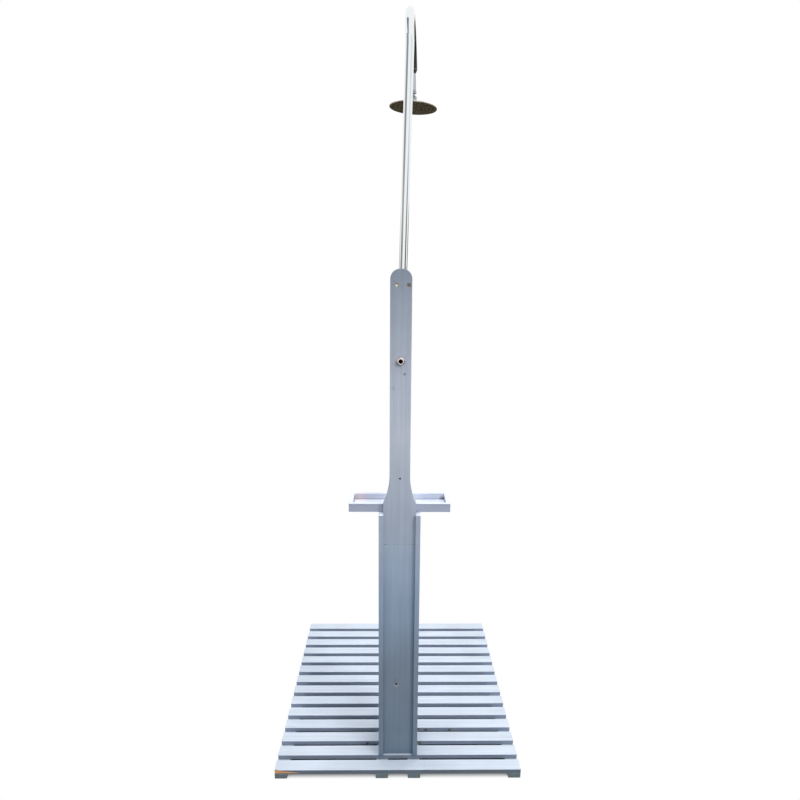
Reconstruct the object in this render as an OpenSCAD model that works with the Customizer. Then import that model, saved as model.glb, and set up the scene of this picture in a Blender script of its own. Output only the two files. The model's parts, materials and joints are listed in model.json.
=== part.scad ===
// Outdoor shower post: a slatted wooden platform, a boxed wooden column with a paddle board above
// it, a soap tray, a stop valve fed from the rear, and a leaning steel riser with a gooseneck that
// carries a round rain head on a ball joint.
// Millimetres. The origin is the middle of the platform's underside, +Z is up, and the bather
// stands on the +Y side. The feed pipe arrives from the -Y side.

/* [Platform] */
// Width of the platform, left to right
deck_w = 800; // [640:10:960]
// Length of the platform, rear to front
deck_l = 800; // [720:10:880]
// Number of slats
slat_count = 14; // [12:1:14]
// Width of a slat
slat_w = 40; // [34:1:46]
// Thickness of a slat
slat_t = 15; // [12:0.5:20]
// Width of a skid
skid_w = 40; // [32:1:48]
// Height of a skid
skid_h = 17; // [12:0.5:24]
// Clear gap between the two middle skids
skid_gap = 65; // [58:1:74]

/* [Column] */
// Clear width between the two cheeks
column_gap = 98; // [90:1:110]
// Thickness of a cheek
cheek_t = 15; // [12:0.5:20]
// Depth of a cheek, rear to front
cheek_d = 120; // [110:1:132]
// Length of a cheek
cheek_h = 854; // [800:1:950]
// How far the cheeks stand behind the second slat
column_lip = 5; // [0:0.5:10]
// Thickness of the panels and of the paddle
panel_t = 18; // [15:0.5:22]
// How deep the panels lie between the cheeks
panel_inset = 11; // [6:0.5:16]
// Depth of the grooves that hold the panels
groove_d = 2; // [1:0.5:4]
// Length of the rear panel
rear_panel_h = 754; // [700:1:800]
// Height of the block at the column's foot
base_h = 45; // [36:1:70]
// Height of the spreader's middle above the deck
spreader_z = 265; // [200:1:400]
// Height of the spreader
spreader_h = 30; // [24:1:50]
// Height of the splice behind the panel joint
splice_h = 120; // [90:1:160]
// Thickness of the splice
splice_t = 20; // [16:0.5:28]

/* [Paddle] */
// Length of the paddle board
paddle_h = 832; // [780:1:900]
// Width of the paddle's neck
neck_w = 62.5; // [58:0.5:72]
// Height above its foot at which the neck is straight
neck_z = 219; // [205:1:260]
// Radius of the hollow curve from foot to neck
flare_r = 197; // [160:1:240]
// Radius of the paddle's upper corners
crown_r = 28; // [15:0.5:28]
// Height of the water inlet above the paddle's foot
inlet_h = 571; // [520:1:600]
// Height of the accessory hole above the paddle's foot
hook_h = 215; // [190:1:300]
// Diameter of the accessory hole
hook_d = 7; // [5:0.5:9]

/* [Tray] */
// Width of the tray, left to right
tray_w = 314; // [260:1:380]
// Depth of the tray, rear to front
tray_d = 100; // [80:1:120]
// Height of the tray's rails
tray_h = 27; // [22:0.5:36]
// Thickness of the tray's rails
tray_rail = 12; // [10:0.5:15]
// Thickness of the tray's floor
tray_floor_t = 8; // [6:0.5:10]

/* [Riser and gooseneck] */
// Outer diameter of the riser pipe
riser_d = 25; // [22:0.5:26]
// Wall of the riser pipe
riser_wall = 1.2; // [1:0.1:2]
// Distance from the paddle's face to the riser's axis
riser_gap = 32.5; // [31:0.5:40]
// Sideways lean of the riser in degrees
riser_lean = 1.25; // [0:0.25:2]
// Length of the straight riser, measured up from the inlet's axis
riser_h = 850; // [800:0.5:950]
// Sideways bend in degrees at the top of the riser, against its lean
set_bend = 3; // [0.5:0.5:5]
// Radius of the sideways bend
set_r = 150; // [100:5:200]
// Radius of the gooseneck at its centre line
goose_r = 112; // [95:1:140]
// Sweep of the gooseneck in degrees
goose_sweep = 173.5; // [165:0.5:178]
// Angle in degrees by which the gooseneck points to the right
goose_yaw = 4.5; // [0:0.5:12]
// Length of the reducer at the end of the bend
swage_l = 11.5; // [9:0.5:16]
// Outer diameter of the outlet nipple
outlet_d = 14.5; // [12.5:0.5:16]
// Length of the outlet nipple that shows
outlet_l = 47.5; // [40:0.5:70]

/* [Rain head] */
// Diameter of the rain head
head_d = 150; // [130:1:180]
// Height of the rain head's rim
rim_h = 4; // [3:0.5:6]
// Height of the rain head's dome
dome_h = 11; // [9:0.5:16]
// Wall of the rain head
head_wall = 1.2; // [0.8:0.1:1.6]
// Sideways tilt in degrees at which the head was left
head_roll = 5.5; // [0:0.5:7]
// Tilt in degrees at which the head was left, up towards the rear
head_pitch = 3.5; // [0:0.5:8]
// Diameter of the joint's ball
ball_d = 14; // [13:0.5:16]
// Number of rings of nozzles
nozzle_rings = 5; // [3:1:5]
// Diameter of a nozzle
nozzle_d = 2.6; // [2:0.1:3.2]

/* [Valve] */
// Outer diameter of the inlet's pipe thread
thread_d = 20.96; // [20:0.02:22]
// Bore of the inlet
inlet_bore = 14; // [12:0.5:15]
// How far the inlet stands out behind the paddle
inlet_out = 10; // [7:0.5:16]
// Diameter of the hole in the paddle for the inlet
inlet_hole = 24; // [23:0.5:27]
// Diameter of the mounting plate
plate_d = 54; // [51:1:60]
// Thickness of the mounting plate
plate_t = 4; // [3.5:0.5:6]
// How far the valve's barrel stands out round its spigot
barrel_step = 1.75; // [1.5:0.25:4]
// Size of the union nut across its flats
union_af = 34; // [31:0.5:38]
// Length of the lever from the spindle's axis
lever_l = 60; // [45:1:80]

/* [Riser clip] */
// Height of the clip above the inlet
clip_z = 216; // [180:1:230]
// Distance between the two clip bolts
clip_spacing = 35; // [33:0.5:38]
// Height of the clip
clip_h = 18; // [14:0.5:24]
// Diameter of a clip bolt
bolt_d = 5; // [4:0.5:5.5]
// Diameter of the recess behind a bolt head
bolt_recess_d = 11; // [10:0.5:14]
// Depth of the recess behind a bolt head
bolt_recess = 6.5; // [5:0.5:9]

/* [Hidden] */
$fn = 96;
// Overrun of every cut
over = 1;
// Gap round glued and screwed wood
wood_gap = 0.1;
// Radial gap of every running fit
run = 0.05;
// Gap round threads and pressed-in parts
snug = 0.05;
// Gap between the end faces of parts that turn on each other
face_gap = 0.1;

// Wood screws: radius of the shank and of the head, length of the point, depth below the surface
screw_r = 2;
screw_head_r = 4;
screw_tip = 4;
screw_sink = 0.5;
slat_screw_l = 26;
post_screw_l = 60;
cheek_screw_l = 35;
panel_screw_l = 35;
splice_screw_l = 32;
tray_screw_l = 25;
plate_screw_l = 16;
// How far to the left the rear panel's screw sits
panel_screw_x = 7;
// How far the post screws stand forward of the slat screws
post_screw_dy = 11;
// Sideways place of the splice screws and of the screws in the tray's back rail
splice_screw_x = 15;
tray_screw_x = 28;
// Tray pins: radius, length and distance from the tray's edges
pin_r = 0.9;
pin_l = 30;
pin_edge = 3.5;
tray_rebate = 5;

// Deck
deck_z = skid_h + slat_t;
slat_pitch = (deck_l - slat_w) / (slat_count - 1);
function slat_y(i) = -deck_l / 2 + slat_w / 2 + (i - 1) * slat_pitch;
skid_x = [
  -deck_w / 2 + skid_w / 2,
  -skid_gap / 2 - skid_w / 2,
  skid_gap / 2 + skid_w / 2,
  deck_w / 2 - skid_w / 2
];

// Column
column_y0 = slat_y(2) - slat_w / 2 - column_lip;
column_y1 = column_y0 + cheek_d;
rear_y0 = column_y0 + panel_inset;
rear_y1 = rear_y0 + panel_t;
front_y1 = column_y1 - panel_inset;
front_y0 = front_y1 - panel_t;
block_d = front_y0 - rear_y1;
block_yc = (front_y0 + rear_y1) / 2;
board_hw = column_gap / 2 + groove_d - wood_gap;
cheek_x = column_gap / 2 + cheek_t / 2;
cheek_top = deck_z + cheek_h;
spreader_zc = deck_z + spreader_z;
paddle_z = deck_z + rear_panel_h;
neck_hw = neck_w / 2;
// Height above the paddle's foot at which the flare reaches the full width
shoulder_z = neck_z - sqrt(flare_r * flare_r - pow(flare_r - (board_hw - neck_hw), 2));
splice_z0 = paddle_z - splice_h / 2;

// Tray
tray_y0 = rear_y1;
tray_y1 = tray_y0 + tray_d;
tray_z0 = cheek_top;
tray_in = tray_w / 2 - tray_rail;

// Riser
inlet_z = paddle_z + inlet_h;
riser_r = riser_d / 2;
riser_y = rear_y1 + riser_gap;
bore_r = riser_r - riser_wall;

// Valve, measured up from the inlet's axis and forward from the riser's axis
barrel_top = 20;
barrel_bottom = 24;
barrel_edge = 2.5;
chamber_r = 8.8;
chamber_bottom = 17;
spigot_wall = 2.2;
spigot_r = riser_r + run + spigot_wall;
barrel_r = spigot_r + barrel_step;
spigot_h = 12;
spigot_top = barrel_top + spigot_h;
socket_step = 2;
socket_floor = barrel_top + socket_step;
seal_h = 2;
bead_h = 2.2;
bead_out = 1.4;
bead_z = spigot_top + seal_h + face_gap;
union_lip = 4.6;
union_clear = 0.5;
union_z0 = barrel_top + union_clear;
union_top = bead_z + bead_h + face_gap + union_lip;
union_chamfer = 2;
rear_boss_r = 13.6;
front_boss_r = 12.4;
front_boss = 24;
nipple_bite = 9;
nipple_collar_r = 12.9;
nipple_collar = 3;
nipple_relief = 0.6;
nipple_chamfer = 1;
thread_r = thread_d / 2;
plate_y1 = rear_y1 + plate_t;
plate_screw_ring = 20;
plate_edge = 1;
boss_y = -riser_gap + plate_t;
cartridge_r = 8.4;
cartridge_y0 = 8;
cartridge_flange_r = 10;
cartridge_flange = 2.4;
cartridge_neck_r = 5.8;
cartridge_neck = 12;
bonnet_af = 25;
bonnet_l = 9;
spindle_r = 3;
spindle_y0 = 11;
spindle_l = 37;
hub_r = 11;
hub_clear = 1.5;
hub_y0 = front_boss + cartridge_neck + hub_clear;
hub_l = 15;
hub_edge = 2;
hub_screw_r = 2;
hub_screw_head_r = 3.5;
hub_screw_head = 2.4;
hub_screw_l = 9;
hub_recess = 3;
lever_r = 4;
lever_end_r = 5.5;

// Clip, measured from the riser's axis
clip_ear = clip_h / 2;
clip_split = 0.5;
clip_cap_t = 6;
clip_wall = 2.5;
clip_hump_r = riser_r + run + clip_wall;
bolt_r = bolt_d / 2;
bolt_head_r = 4.3;
bolt_head = 3;
bolt_socket_af = 3;
bolt_socket = 1.8;
nut_af = 8;
nut_h = 5;
nut_dome_r = 3.4;
nut_roof = 1;
nut_chamfer = 1;
// The hump's sides stop short of the nuts
clip_side = (clip_spacing - nut_af) / 2 - face_gap;
bolt_seat = -riser_gap - panel_t + bolt_recess;
bolt_end = clip_cap_t + nut_h - nut_roof;

// Outlet and rain head, measured down from the end of the gooseneck along the outlet
outlet_r = outlet_d / 2;
outlet_wall = 2;
swage_lip = 2;
swage_step = 0.8;
outlet_end = swage_l + outlet_l;
collar_r = 8.5;
collar_h = 8;
collar_edge = 1;
collar_bite = 5;
stem_r = 3.5;
ball_r = ball_d / 2;
ball_drop = 11;
ball_z = outlet_end + collar_h + ball_drop;
water_r = 2.2;
// Rain head, measured from the ball's centre
nut_lip = 3.4;
nut_low = 5.5;
nut_r = 9.2;
nut_edge = 1;
spigot_seat = 1.5;
neck_wall = 0.6;
neck_thread_r = ball_r + neck_wall;
dome_top = 15.4;
dome_neck_r = 9.5;
dome_low = dome_top + dome_h;
face_z = dome_low + rim_h;
plate_sink = 0.8;
plate_thick = 1.2;
mat_t = 1.2;
head_r = head_d / 2;
nozzle_r = nozzle_d / 2;
nozzle_out = 1.2;
nozzle_edge = 12;
nozzle_step = 6;
dome_steps = 12;

slat_names = [for (i = [1:slat_count]) str("slat_", i < 10 ? "0" : "", i)];
skid_names = ["skid_left", "skid_mid_left", "skid_mid_right", "skid_right"];

paint = "#93a3b4";
pale_paint = "#c9d5e0";
raw_wood = "#d9b98a";
zinc = "#b9b6a6";
steel = "#dfe3e6";
dark_rubber = "#2b2926";

// A box between two corners
module block(low, high) {
  translate(low) cube(high - low);
}

// A countersunk wood screw, head at the origin, point up
module wood_screw(l) {
  rotate_extrude() polygon([
    [0, 0], [screw_head_r, 0], [screw_r, screw_head_r - screw_r],
    [screw_r, l - screw_tip], [0, l]
  ]);
}

// The hole that a wood screw fills
module screw_hole(l) {
  rotate_extrude() polygon([
    [0, -over], [screw_head_r + wood_gap, -over], [screw_head_r + wood_gap, 0],
    [screw_r + wood_gap, screw_head_r - screw_r], [screw_r + wood_gap, l + wood_gap],
    [0, l + wood_gap]
  ]);
}

// Turns a part that was drawn along +Z to point along an axis
module pointing(way) {
  turn = way == "right" ? [0, 90, 0] : way == "left" ? [0, -90, 0]
       : way == "front" ? [-90, 0, 0] : way == "rear" ? [90, 0, 0]
       : way == "down" ? [180, 0, 0] : [0, 0, 0];
  rotate(turn) children();
}

// Places of each kind of screw
module at_slat_screws(rows, xs) {
  for (i = rows) for (x = xs) translate([x, slat_y(i), screw_sink]) children();
}

module at_post_screws() {
  for (i = [2, 3]) for (side = [-1, 1])
    translate([side * cheek_x, slat_y(i) + post_screw_dy, screw_sink]) children();
}

module at_cheek_screws(side) {
  x = side * (column_gap / 2 + cheek_t);
  way = side < 0 ? "right" : "left";
  for (z = [deck_z + base_h / 2, spreader_zc]) for (dy = [-1, 1] * block_d / 4)
    translate([x, block_yc + dy, z]) pointing(way) children();
  for (dz = [-1, 1] * splice_h / 4)
    translate([x, rear_y1 + splice_t / 2, paddle_z + dz]) pointing(way) children();
}

module at_panel_screws() {
  translate([-panel_screw_x, rear_y0, spreader_zc]) pointing("front") children();
  translate([panel_screw_x, front_y1, spreader_zc]) pointing("rear") children();
}

module at_splice_screws() {
  for (side = [-1, 1]) for (dz = [-1, 1] * splice_h / 4)
    translate([side * splice_screw_x, rear_y1 + splice_t, paddle_z + dz])
      pointing("rear") children();
}

module at_tray_screws() {
  for (side = [-1, 1]) {
    translate([side * tray_screw_x, tray_y0 + tray_rail, tray_z0 + (tray_h + tray_floor_t) / 2])
      pointing("rear") children();
    translate([side * cheek_x, block_yc, tray_z0 + tray_floor_t]) pointing("down") children();
  }
}

module at_tray_pins() {
  for (side = [-1, 1]) for (z = [pin_edge, tray_h - pin_edge]) {
    x = side * (tray_w / 2 - pin_edge);
    translate([x, tray_y0, tray_z0 + z]) pointing("front") children();
    translate([x, tray_y1, tray_z0 + z]) pointing("rear") children();
  }
}

module at_plate_screws() {
  translate([0, plate_y1, inlet_z]) pointing("rear")
    for (a = [90:120:330]) rotate(a) translate([plate_screw_ring, 0, 0]) children();
}

// The riser's own frame: the origin is where its axis meets the inlet's axis
module leaning() {
  translate([0, riser_y, inlet_z]) rotate([0, riser_lean, 0]) children();
}

module at_clip_bolts() {
  leaning() for (side = [-1, 1])
    translate([side * clip_spacing / 2, bolt_seat, clip_z]) pointing("front") children();
}

// The gooseneck's frame: the origin is its start, and it bends over towards +Y
module gooseneck() {
  leaning() rotate([0, 0, -goose_yaw]) translate([-set_r, 0, riser_h]) rotate([0, -set_bend, 0])
    translate([set_r, 0, 0]) children();
}

// The outlet's frame: the origin is the end of the gooseneck, and water runs down -Z
module outlet() {
  gooseneck() translate([0, goose_r * (1 - cos(goose_sweep)), goose_r * sin(goose_sweep)])
    rotate([180 - goose_sweep, 0, 0]) children();
}

// The rain head's frame: the origin is the ball's centre
module head_frame() {
  outlet() translate([0, 0, -ball_z]) rotate([-head_pitch, head_roll, 0]) children();
}

module deck_slat(i) {
  color(pale_paint) difference() {
    block(
      [-deck_w / 2, slat_y(i) - slat_w / 2, skid_h], [deck_w / 2, slat_y(i) + slat_w / 2, deck_z]
    );
    at_slat_screws([i], skid_x) screw_hole(slat_screw_l);
    if (i == 2 || i == 3) at_post_screws() screw_hole(post_screw_l);
  }
}

module skid(i) {
  x = skid_x[i];
  color(paint) difference() {
    block([x - skid_w / 2, -deck_l / 2, 0], [x + skid_w / 2, deck_l / 2, skid_h]);
    at_slat_screws([1:slat_count], [x]) screw_hole(slat_screw_l);
    if (i == 1 || i == 2) at_post_screws() screw_hole(post_screw_l);
  }
}

module slat_screws() {
  color(zinc) at_slat_screws([1:slat_count], skid_x) wood_screw(slat_screw_l);
}

module post_screws() {
  color(zinc) at_post_screws() wood_screw(post_screw_l);
}

// One side board, with a groove for each panel
module cheek(side) {
  inner = side * column_gap / 2;
  outer = side * (column_gap / 2 + cheek_t);
  groove = side * (column_gap / 2 + groove_d);
  x0 = min(inner, outer);
  x1 = max(inner, outer);
  color(paint) difference() {
    block([x0, column_y0, deck_z], [x1, column_y1, cheek_top]);
    for (y = [rear_y0, front_y0])
      block(
        [min(groove, inner - side * over), y - wood_gap, deck_z - over],
        [max(groove, inner - side * over), y + panel_t + wood_gap, cheek_top + over]
      );
    at_cheek_screws(side) screw_hole(cheek_screw_l);
    at_post_screws() screw_hole(post_screw_l);
    at_tray_screws() screw_hole(tray_screw_l);
  }
}

module cheek_left() {
  cheek(-1);
}

module cheek_right() {
  cheek(1);
}

module rear_panel() {
  color(paint) difference() {
    block([-board_hw, rear_y0, deck_z], [board_hw, rear_y1, paddle_z]);
    at_panel_screws() screw_hole(panel_screw_l);
    at_splice_screws() screw_hole(splice_screw_l);
  }
}

module front_panel() {
  color(paint) difference() {
    block([-board_hw, front_y0, deck_z], [board_hw, front_y1, cheek_top]);
    at_panel_screws() screw_hole(panel_screw_l);
  }
}

module column_block(y0, y1, z0, z1) {
  color(raw_wood) difference() {
    block([-column_gap / 2, y0, z0], [column_gap / 2, y1, z1]);
    for (side = [-1, 1]) at_cheek_screws(side) screw_hole(cheek_screw_l);
    at_panel_screws() screw_hole(panel_screw_l);
    at_splice_screws() screw_hole(splice_screw_l);
  }
}

module base_block() {
  column_block(rear_y1, front_y0, deck_z, deck_z + base_h);
}

module spreader_block() {
  column_block(rear_y1, front_y0, spreader_zc - spreader_h / 2, spreader_zc + spreader_h / 2);
}

module splice_block() {
  column_block(rear_y1, rear_y1 + splice_t, splice_z0, splice_z0 + splice_h);
}

module cheek_screws() {
  color(zinc) for (side = [-1, 1]) at_cheek_screws(side) wood_screw(cheek_screw_l);
}

module panel_screws() {
  color(zinc) at_panel_screws() wood_screw(panel_screw_l);
}

module splice_screws() {
  color(zinc) at_splice_screws() wood_screw(splice_screw_l);
}

// Outline of the paddle seen from behind, its foot on the X axis
module paddle_outline() {
  translate([-board_hw, 0]) square([2 * board_hw, shoulder_z]);
  difference() {
    translate([-board_hw, shoulder_z]) square([2 * board_hw, neck_z - shoulder_z]);
    for (side = [-1, 1]) translate([side * (neck_hw + flare_r), neck_z]) circle(flare_r);
  }
  translate([-neck_hw, neck_z]) square([neck_w, paddle_h - crown_r - neck_z]);
  intersection() {
    translate([-neck_hw, paddle_h - crown_r]) square([neck_w, crown_r]);
    union() {
      for (side = [-1, 1]) translate([side * (neck_hw - crown_r), paddle_h - crown_r]) circle(crown_r);
      translate([crown_r - neck_hw, paddle_h - crown_r]) square([neck_w - 2 * crown_r, crown_r]);
    }
  }
}

module paddle() {
  color(paint) difference() {
    translate([0, rear_y1, paddle_z]) rotate([90, 0, 0]) linear_extrude(panel_t) paddle_outline();
    translate([0, rear_y0 - over, inlet_z]) pointing("front")
      cylinder(d = inlet_hole, h = panel_t + 2 * over);
    translate([0, rear_y0 - over, paddle_z + hook_h]) pointing("front")
      cylinder(d = hook_d, h = panel_t + 2 * over);
    at_clip_bolts() {
      cylinder(r = bolt_r + wood_gap, h = panel_t);
      translate([0, 0, -bolt_recess - over]) cylinder(d = bolt_recess_d, h = bolt_recess + over);
    }
    at_splice_screws() screw_hole(splice_screw_l);
    at_tray_screws() screw_hole(tray_screw_l);
    at_plate_screws() screw_hole(plate_screw_l);
  }
}

module tray_floor() {
  edge = tray_in + tray_rebate - wood_gap;
  inset = tray_rail - tray_rebate + wood_gap;
  color(pale_paint) difference() {
    block([-edge, tray_y0 + inset, tray_z0], [edge, tray_y1 - inset, tray_z0 + tray_floor_t]);
    at_tray_screws() screw_hole(tray_screw_l);
  }
}

// The rebate that the tray's floor fills
module floor_rebate() {
  edge = tray_in + tray_rebate;
  inset = tray_rail - tray_rebate;
  block([-edge, tray_y0 + inset, tray_z0 - over], [edge, tray_y1 - inset, tray_z0 + tray_floor_t]);
}

// A long rail of the tray, from its rear face
module long_rail(y0) {
  color(paint) difference() {
    block([-tray_w / 2, y0, tray_z0], [tray_w / 2, y0 + tray_rail, tray_z0 + tray_h]);
    floor_rebate();
    at_tray_pins() tray_pin(wood_gap);
    at_tray_screws() screw_hole(tray_screw_l);
  }
}

module tray_front_rail() {
  long_rail(tray_y1 - tray_rail);
}

module tray_back_rail() {
  long_rail(tray_y0);
}

// An end of the tray, between the long rails
module tray_end(x0) {
  color(paint) difference() {
    block(
      [x0, tray_y0 + tray_rail, tray_z0], [x0 + tray_rail, tray_y1 - tray_rail, tray_z0 + tray_h]
    );
    floor_rebate();
    at_tray_pins() tray_pin(wood_gap);
  }
}

module tray_left_end() {
  tray_end(-tray_w / 2);
}

module tray_right_end() {
  tray_end(tray_w / 2 - tray_rail);
}

// A headless pin, or the hole round it
module tray_pin(gap) {
  sink = gap > 0 ? -over : screw_sink;
  translate([0, 0, sink]) cylinder(r = pin_r + gap, h = pin_l - sink + gap);
}

module tray_pins() {
  color(zinc) at_tray_pins() tray_pin(0);
}

module tray_screws() {
  color(zinc) at_tray_screws() wood_screw(tray_screw_l);
}

// Threaded inlet: a free end behind the paddle, a collar trapped by the plate, and a front thread
module inlet_nipple() {
  bore = inlet_bore / 2;
  rear = -inlet_out;
  collar = panel_t;
  front = panel_t + plate_t + nipple_bite;
  color(steel) translate([0, rear_y0, inlet_z]) pointing("front") rotate_extrude() polygon([
    [bore, rear], [thread_r - nipple_chamfer, rear], [thread_r, rear + nipple_chamfer],
    [thread_r, 0], [thread_r - nipple_relief, nipple_relief],
    [thread_r - nipple_relief, collar], [nipple_collar_r, collar],
    [nipple_collar_r, collar + nipple_collar], [thread_r, collar + nipple_collar],
    [thread_r, front], [bore, front]
  ]);
}

module mounting_plate() {
  r = plate_d / 2;
  collar = nipple_collar_r + snug;
  recess = nipple_collar + snug;
  color(steel) difference() {
    translate([0, rear_y1, inlet_z]) pointing("front") rotate_extrude() polygon([
      [collar, 0], [r, 0], [r, plate_t - plate_edge], [r - plate_edge, plate_t],
      [thread_r + snug, plate_t], [thread_r + snug, recess], [collar, recess]
    ]);
    at_plate_screws() screw_hole(plate_screw_l);
  }
}

module plate_screws() {
  color(zinc) at_plate_screws() wood_screw(plate_screw_l);
}

// Cast body: a barrel on the riser's axis, a rear boss on the inlet and a front boss for the cartridge
module valve_body() {
  color(steel) leaning() difference() {
    union() {
      rotate_extrude() polygon([
        [0, -barrel_bottom], [barrel_r - barrel_edge, -barrel_bottom],
        [barrel_r, barrel_edge - barrel_bottom], [barrel_r, barrel_top - barrel_edge],
        [barrel_r - barrel_edge / 2, barrel_top], [spigot_r, barrel_top],
        [spigot_r, spigot_top], [0, spigot_top]
      ]);
      translate([0, boss_y, 0]) pointing("front") cylinder(r = rear_boss_r, h = -boss_y);
      pointing("front") cylinder(r = front_boss_r, h = front_boss);
    }
    translate([0, 0, socket_floor]) cylinder(r = riser_r + run, h = spigot_h + over);
    translate([0, 0, -chamber_bottom]) cylinder(r = chamber_r, h = chamber_bottom + spigot_top);
    translate([0, boss_y - over, 0]) pointing("front")
      cylinder(r = thread_r + snug, h = nipple_bite + snug + over);
    translate([0, boss_y - over, 0]) pointing("front") cylinder(d = inlet_bore, h = over - boss_y);
    pointing("front") cylinder(r = cartridge_r + snug, h = front_boss + over);
  }
}

// Ceramic head: a stepped sleeve in which the spindle turns
module cartridge() {
  color("#c9a45a") leaning() pointing("front") rotate_extrude() polygon([
    [spindle_r + run, cartridge_y0], [cartridge_r, cartridge_y0], [cartridge_r, front_boss],
    [cartridge_flange_r, front_boss], [cartridge_flange_r, front_boss + cartridge_flange],
    [cartridge_neck_r, front_boss + cartridge_flange],
    [cartridge_neck_r, front_boss + cartridge_neck],
    [spindle_r + run, front_boss + cartridge_neck]
  ]);
}

// A hexagonal prism with its lower and upper corners turned off
module hex_blank(af, l, chamfer) {
  corner = af / 2 / cos(30);
  intersection() {
    cylinder(r = corner, h = l, $fn = 6);
    rotate_extrude() polygon([
      [0, 0], [af / 2, 0], [corner + over, (corner + over - af / 2) / 2],
      [corner + over, l - chamfer], [af / 2, l], [0, l]
    ]);
  }
}

module bonnet_nut() {
  recess = cartridge_flange + snug;
  color(steel) leaning() translate([0, front_boss, 0]) pointing("front") difference() {
    hex_blank(bonnet_af, bonnet_l, union_chamfer / 2);
    translate([0, 0, -over]) cylinder(r = cartridge_flange_r + snug, h = recess + over);
    cylinder(r = cartridge_neck_r + snug, h = bonnet_l + over);
  }
}

module spindle() {
  hole = hub_screw_l - hub_socket_floor();
  color("#c9a45a") leaning() translate([0, spindle_y0, 0]) pointing("front") difference() {
    cylinder(r = spindle_r, h = spindle_l);
    translate([0, 0, spindle_l - hole - 2 * snug])
      cylinder(r = hub_screw_r - run, h = hole + over);
  }
}

// Thickness of the hub between the spindle's end and the screw's head
function hub_socket_floor() = hub_y0 + hub_l - hub_recess - spindle_y0 - spindle_l;

// Turned lever and hub; the lever hangs straight down when the valve is shut
module handle() {
  floor_y = spindle_y0 + spindle_l;
  neck = hub_r - hub_edge;
  color(steel) leaning() difference() {
    union() {
      translate([0, hub_y0, 0]) pointing("front") rotate_extrude() polygon([
        [0, 0], [hub_r - hub_edge / 2, 0], [hub_r, hub_edge / 2], [hub_r, hub_l - hub_edge],
        [hub_r - hub_edge, hub_l], [0, hub_l]
      ]);
      translate([0, hub_y0 + hub_l / 2, 0]) {
        translate([0, 0, -lever_l + lever_end_r])
          cylinder(r1 = lever_end_r, r2 = lever_r, h = lever_l - lever_end_r - neck / 2);
        translate([0, 0, -lever_l + lever_end_r]) sphere(r = lever_end_r);
      }
    }
    translate([0, hub_y0 - over, 0]) pointing("front")
      cylinder(r = spindle_r + snug, h = floor_y - hub_y0 + over);
    translate([0, floor_y - over, 0]) pointing("front") cylinder(r = hub_screw_r, h = hub_l);
    translate([0, hub_y0 + hub_l - hub_recess, 0]) pointing("front")
      cylinder(r = hub_screw_head_r + snug, h = hub_recess + over);
  }
}

module handle_screw() {
  color(zinc) leaning() translate([0, hub_y0 + hub_l - hub_recess, 0]) pointing("front")
    difference() {
      union() {
        cylinder(r = hub_screw_head_r, h = hub_screw_head);
        translate([0, 0, -hub_screw_l]) cylinder(r = hub_screw_r - 2 * run, h = hub_screw_l);
      }
      translate([0, 0, hub_screw_head / 2])
        cylinder(r = hub_screw_r / 2, h = hub_screw_head, $fn = 6);
    }
}

module union_nut() {
  lip_z = union_top - union_lip;
  color(steel) leaning() difference() {
    translate([0, 0, union_z0]) hex_blank(union_af, union_top - union_z0, union_chamfer);
    translate([0, 0, union_z0 - over])
      cylinder(r = spigot_r + snug, h = lip_z - union_z0 + over);
    translate([0, 0, union_z0]) cylinder(r = riser_r + run, h = union_top - union_z0 + over);
  }
}

module pipe_seal() {
  color(dark_rubber) leaning() translate([0, 0, spigot_top]) difference() {
    cylinder(r = spigot_r, h = seal_h);
    translate([0, 0, -over]) cylinder(r = riser_r + run, h = seal_h + 2 * over);
  }
}

// Bend of the riser's tube in the XZ plane: it starts at the origin, upwards, and turns to -X
module tube_bend(bend_r, sweep) {
  translate([-bend_r, 0, 0]) rotate([90, 0, 0])
    rotate_extrude(angle = sweep, start = 0) translate([bend_r, 0]) difference() {
      circle(riser_r);
      circle(bore_r);
    }
}

// Bent steel tube: a straight riser with a rolled bead near its foot, and the gooseneck
module riser_pipe() {
  color(steel) {
    leaning() rotate([0, 0, -goose_yaw]) {
      difference() {
        union() {
          translate([0, 0, socket_floor + face_gap])
            cylinder(r = riser_r, h = riser_h - socket_floor - face_gap);
          translate([0, 0, bead_z]) cylinder(r = riser_r + bead_out, h = bead_h);
        }
        cylinder(r = bore_r, h = riser_h + over);
      }
      translate([0, 0, riser_h]) tube_bend(set_r, set_bend);
    }
    gooseneck() rotate([0, 0, -90]) tube_bend(goose_r, goose_sweep);
  }
}

// Outline of the clip seen from behind
module clip_outline() {
  square([clip_spacing, clip_h], center = true);
  for (side = [-1, 1]) translate([side * clip_spacing / 2, 0]) circle(clip_ear);
}

module clip_bolt_holes() {
  for (side = [-1, 1]) translate([side * clip_spacing / 2, bolt_seat, 0]) pointing("front")
    cylinder(r = bolt_r + wood_gap, h = bolt_end - bolt_seat + over);
}

module clip_base() {
  color(steel) leaning() translate([0, 0, clip_z]) difference() {
    translate([0, -clip_split, 0]) rotate([90, 0, 0])
      linear_extrude(riser_gap - clip_split) clip_outline();
    cylinder(r = riser_r + run, h = clip_h + 2 * over, center = true);
    clip_bolt_holes();
  }
}

module clip_cap() {
  color(steel) leaning() translate([0, 0, clip_z]) difference() {
    union() {
      translate([0, clip_cap_t, 0]) rotate([90, 0, 0])
        linear_extrude(clip_cap_t - clip_split) clip_outline();
      intersection() {
        cylinder(r = clip_hump_r, h = clip_h, center = true);
        block([-clip_side, clip_split, -clip_h], [clip_side, clip_spacing, clip_h]);
      }
    }
    cylinder(r = riser_r + run, h = clip_h + 2 * over, center = true);
    clip_bolt_holes();
  }
}

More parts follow.
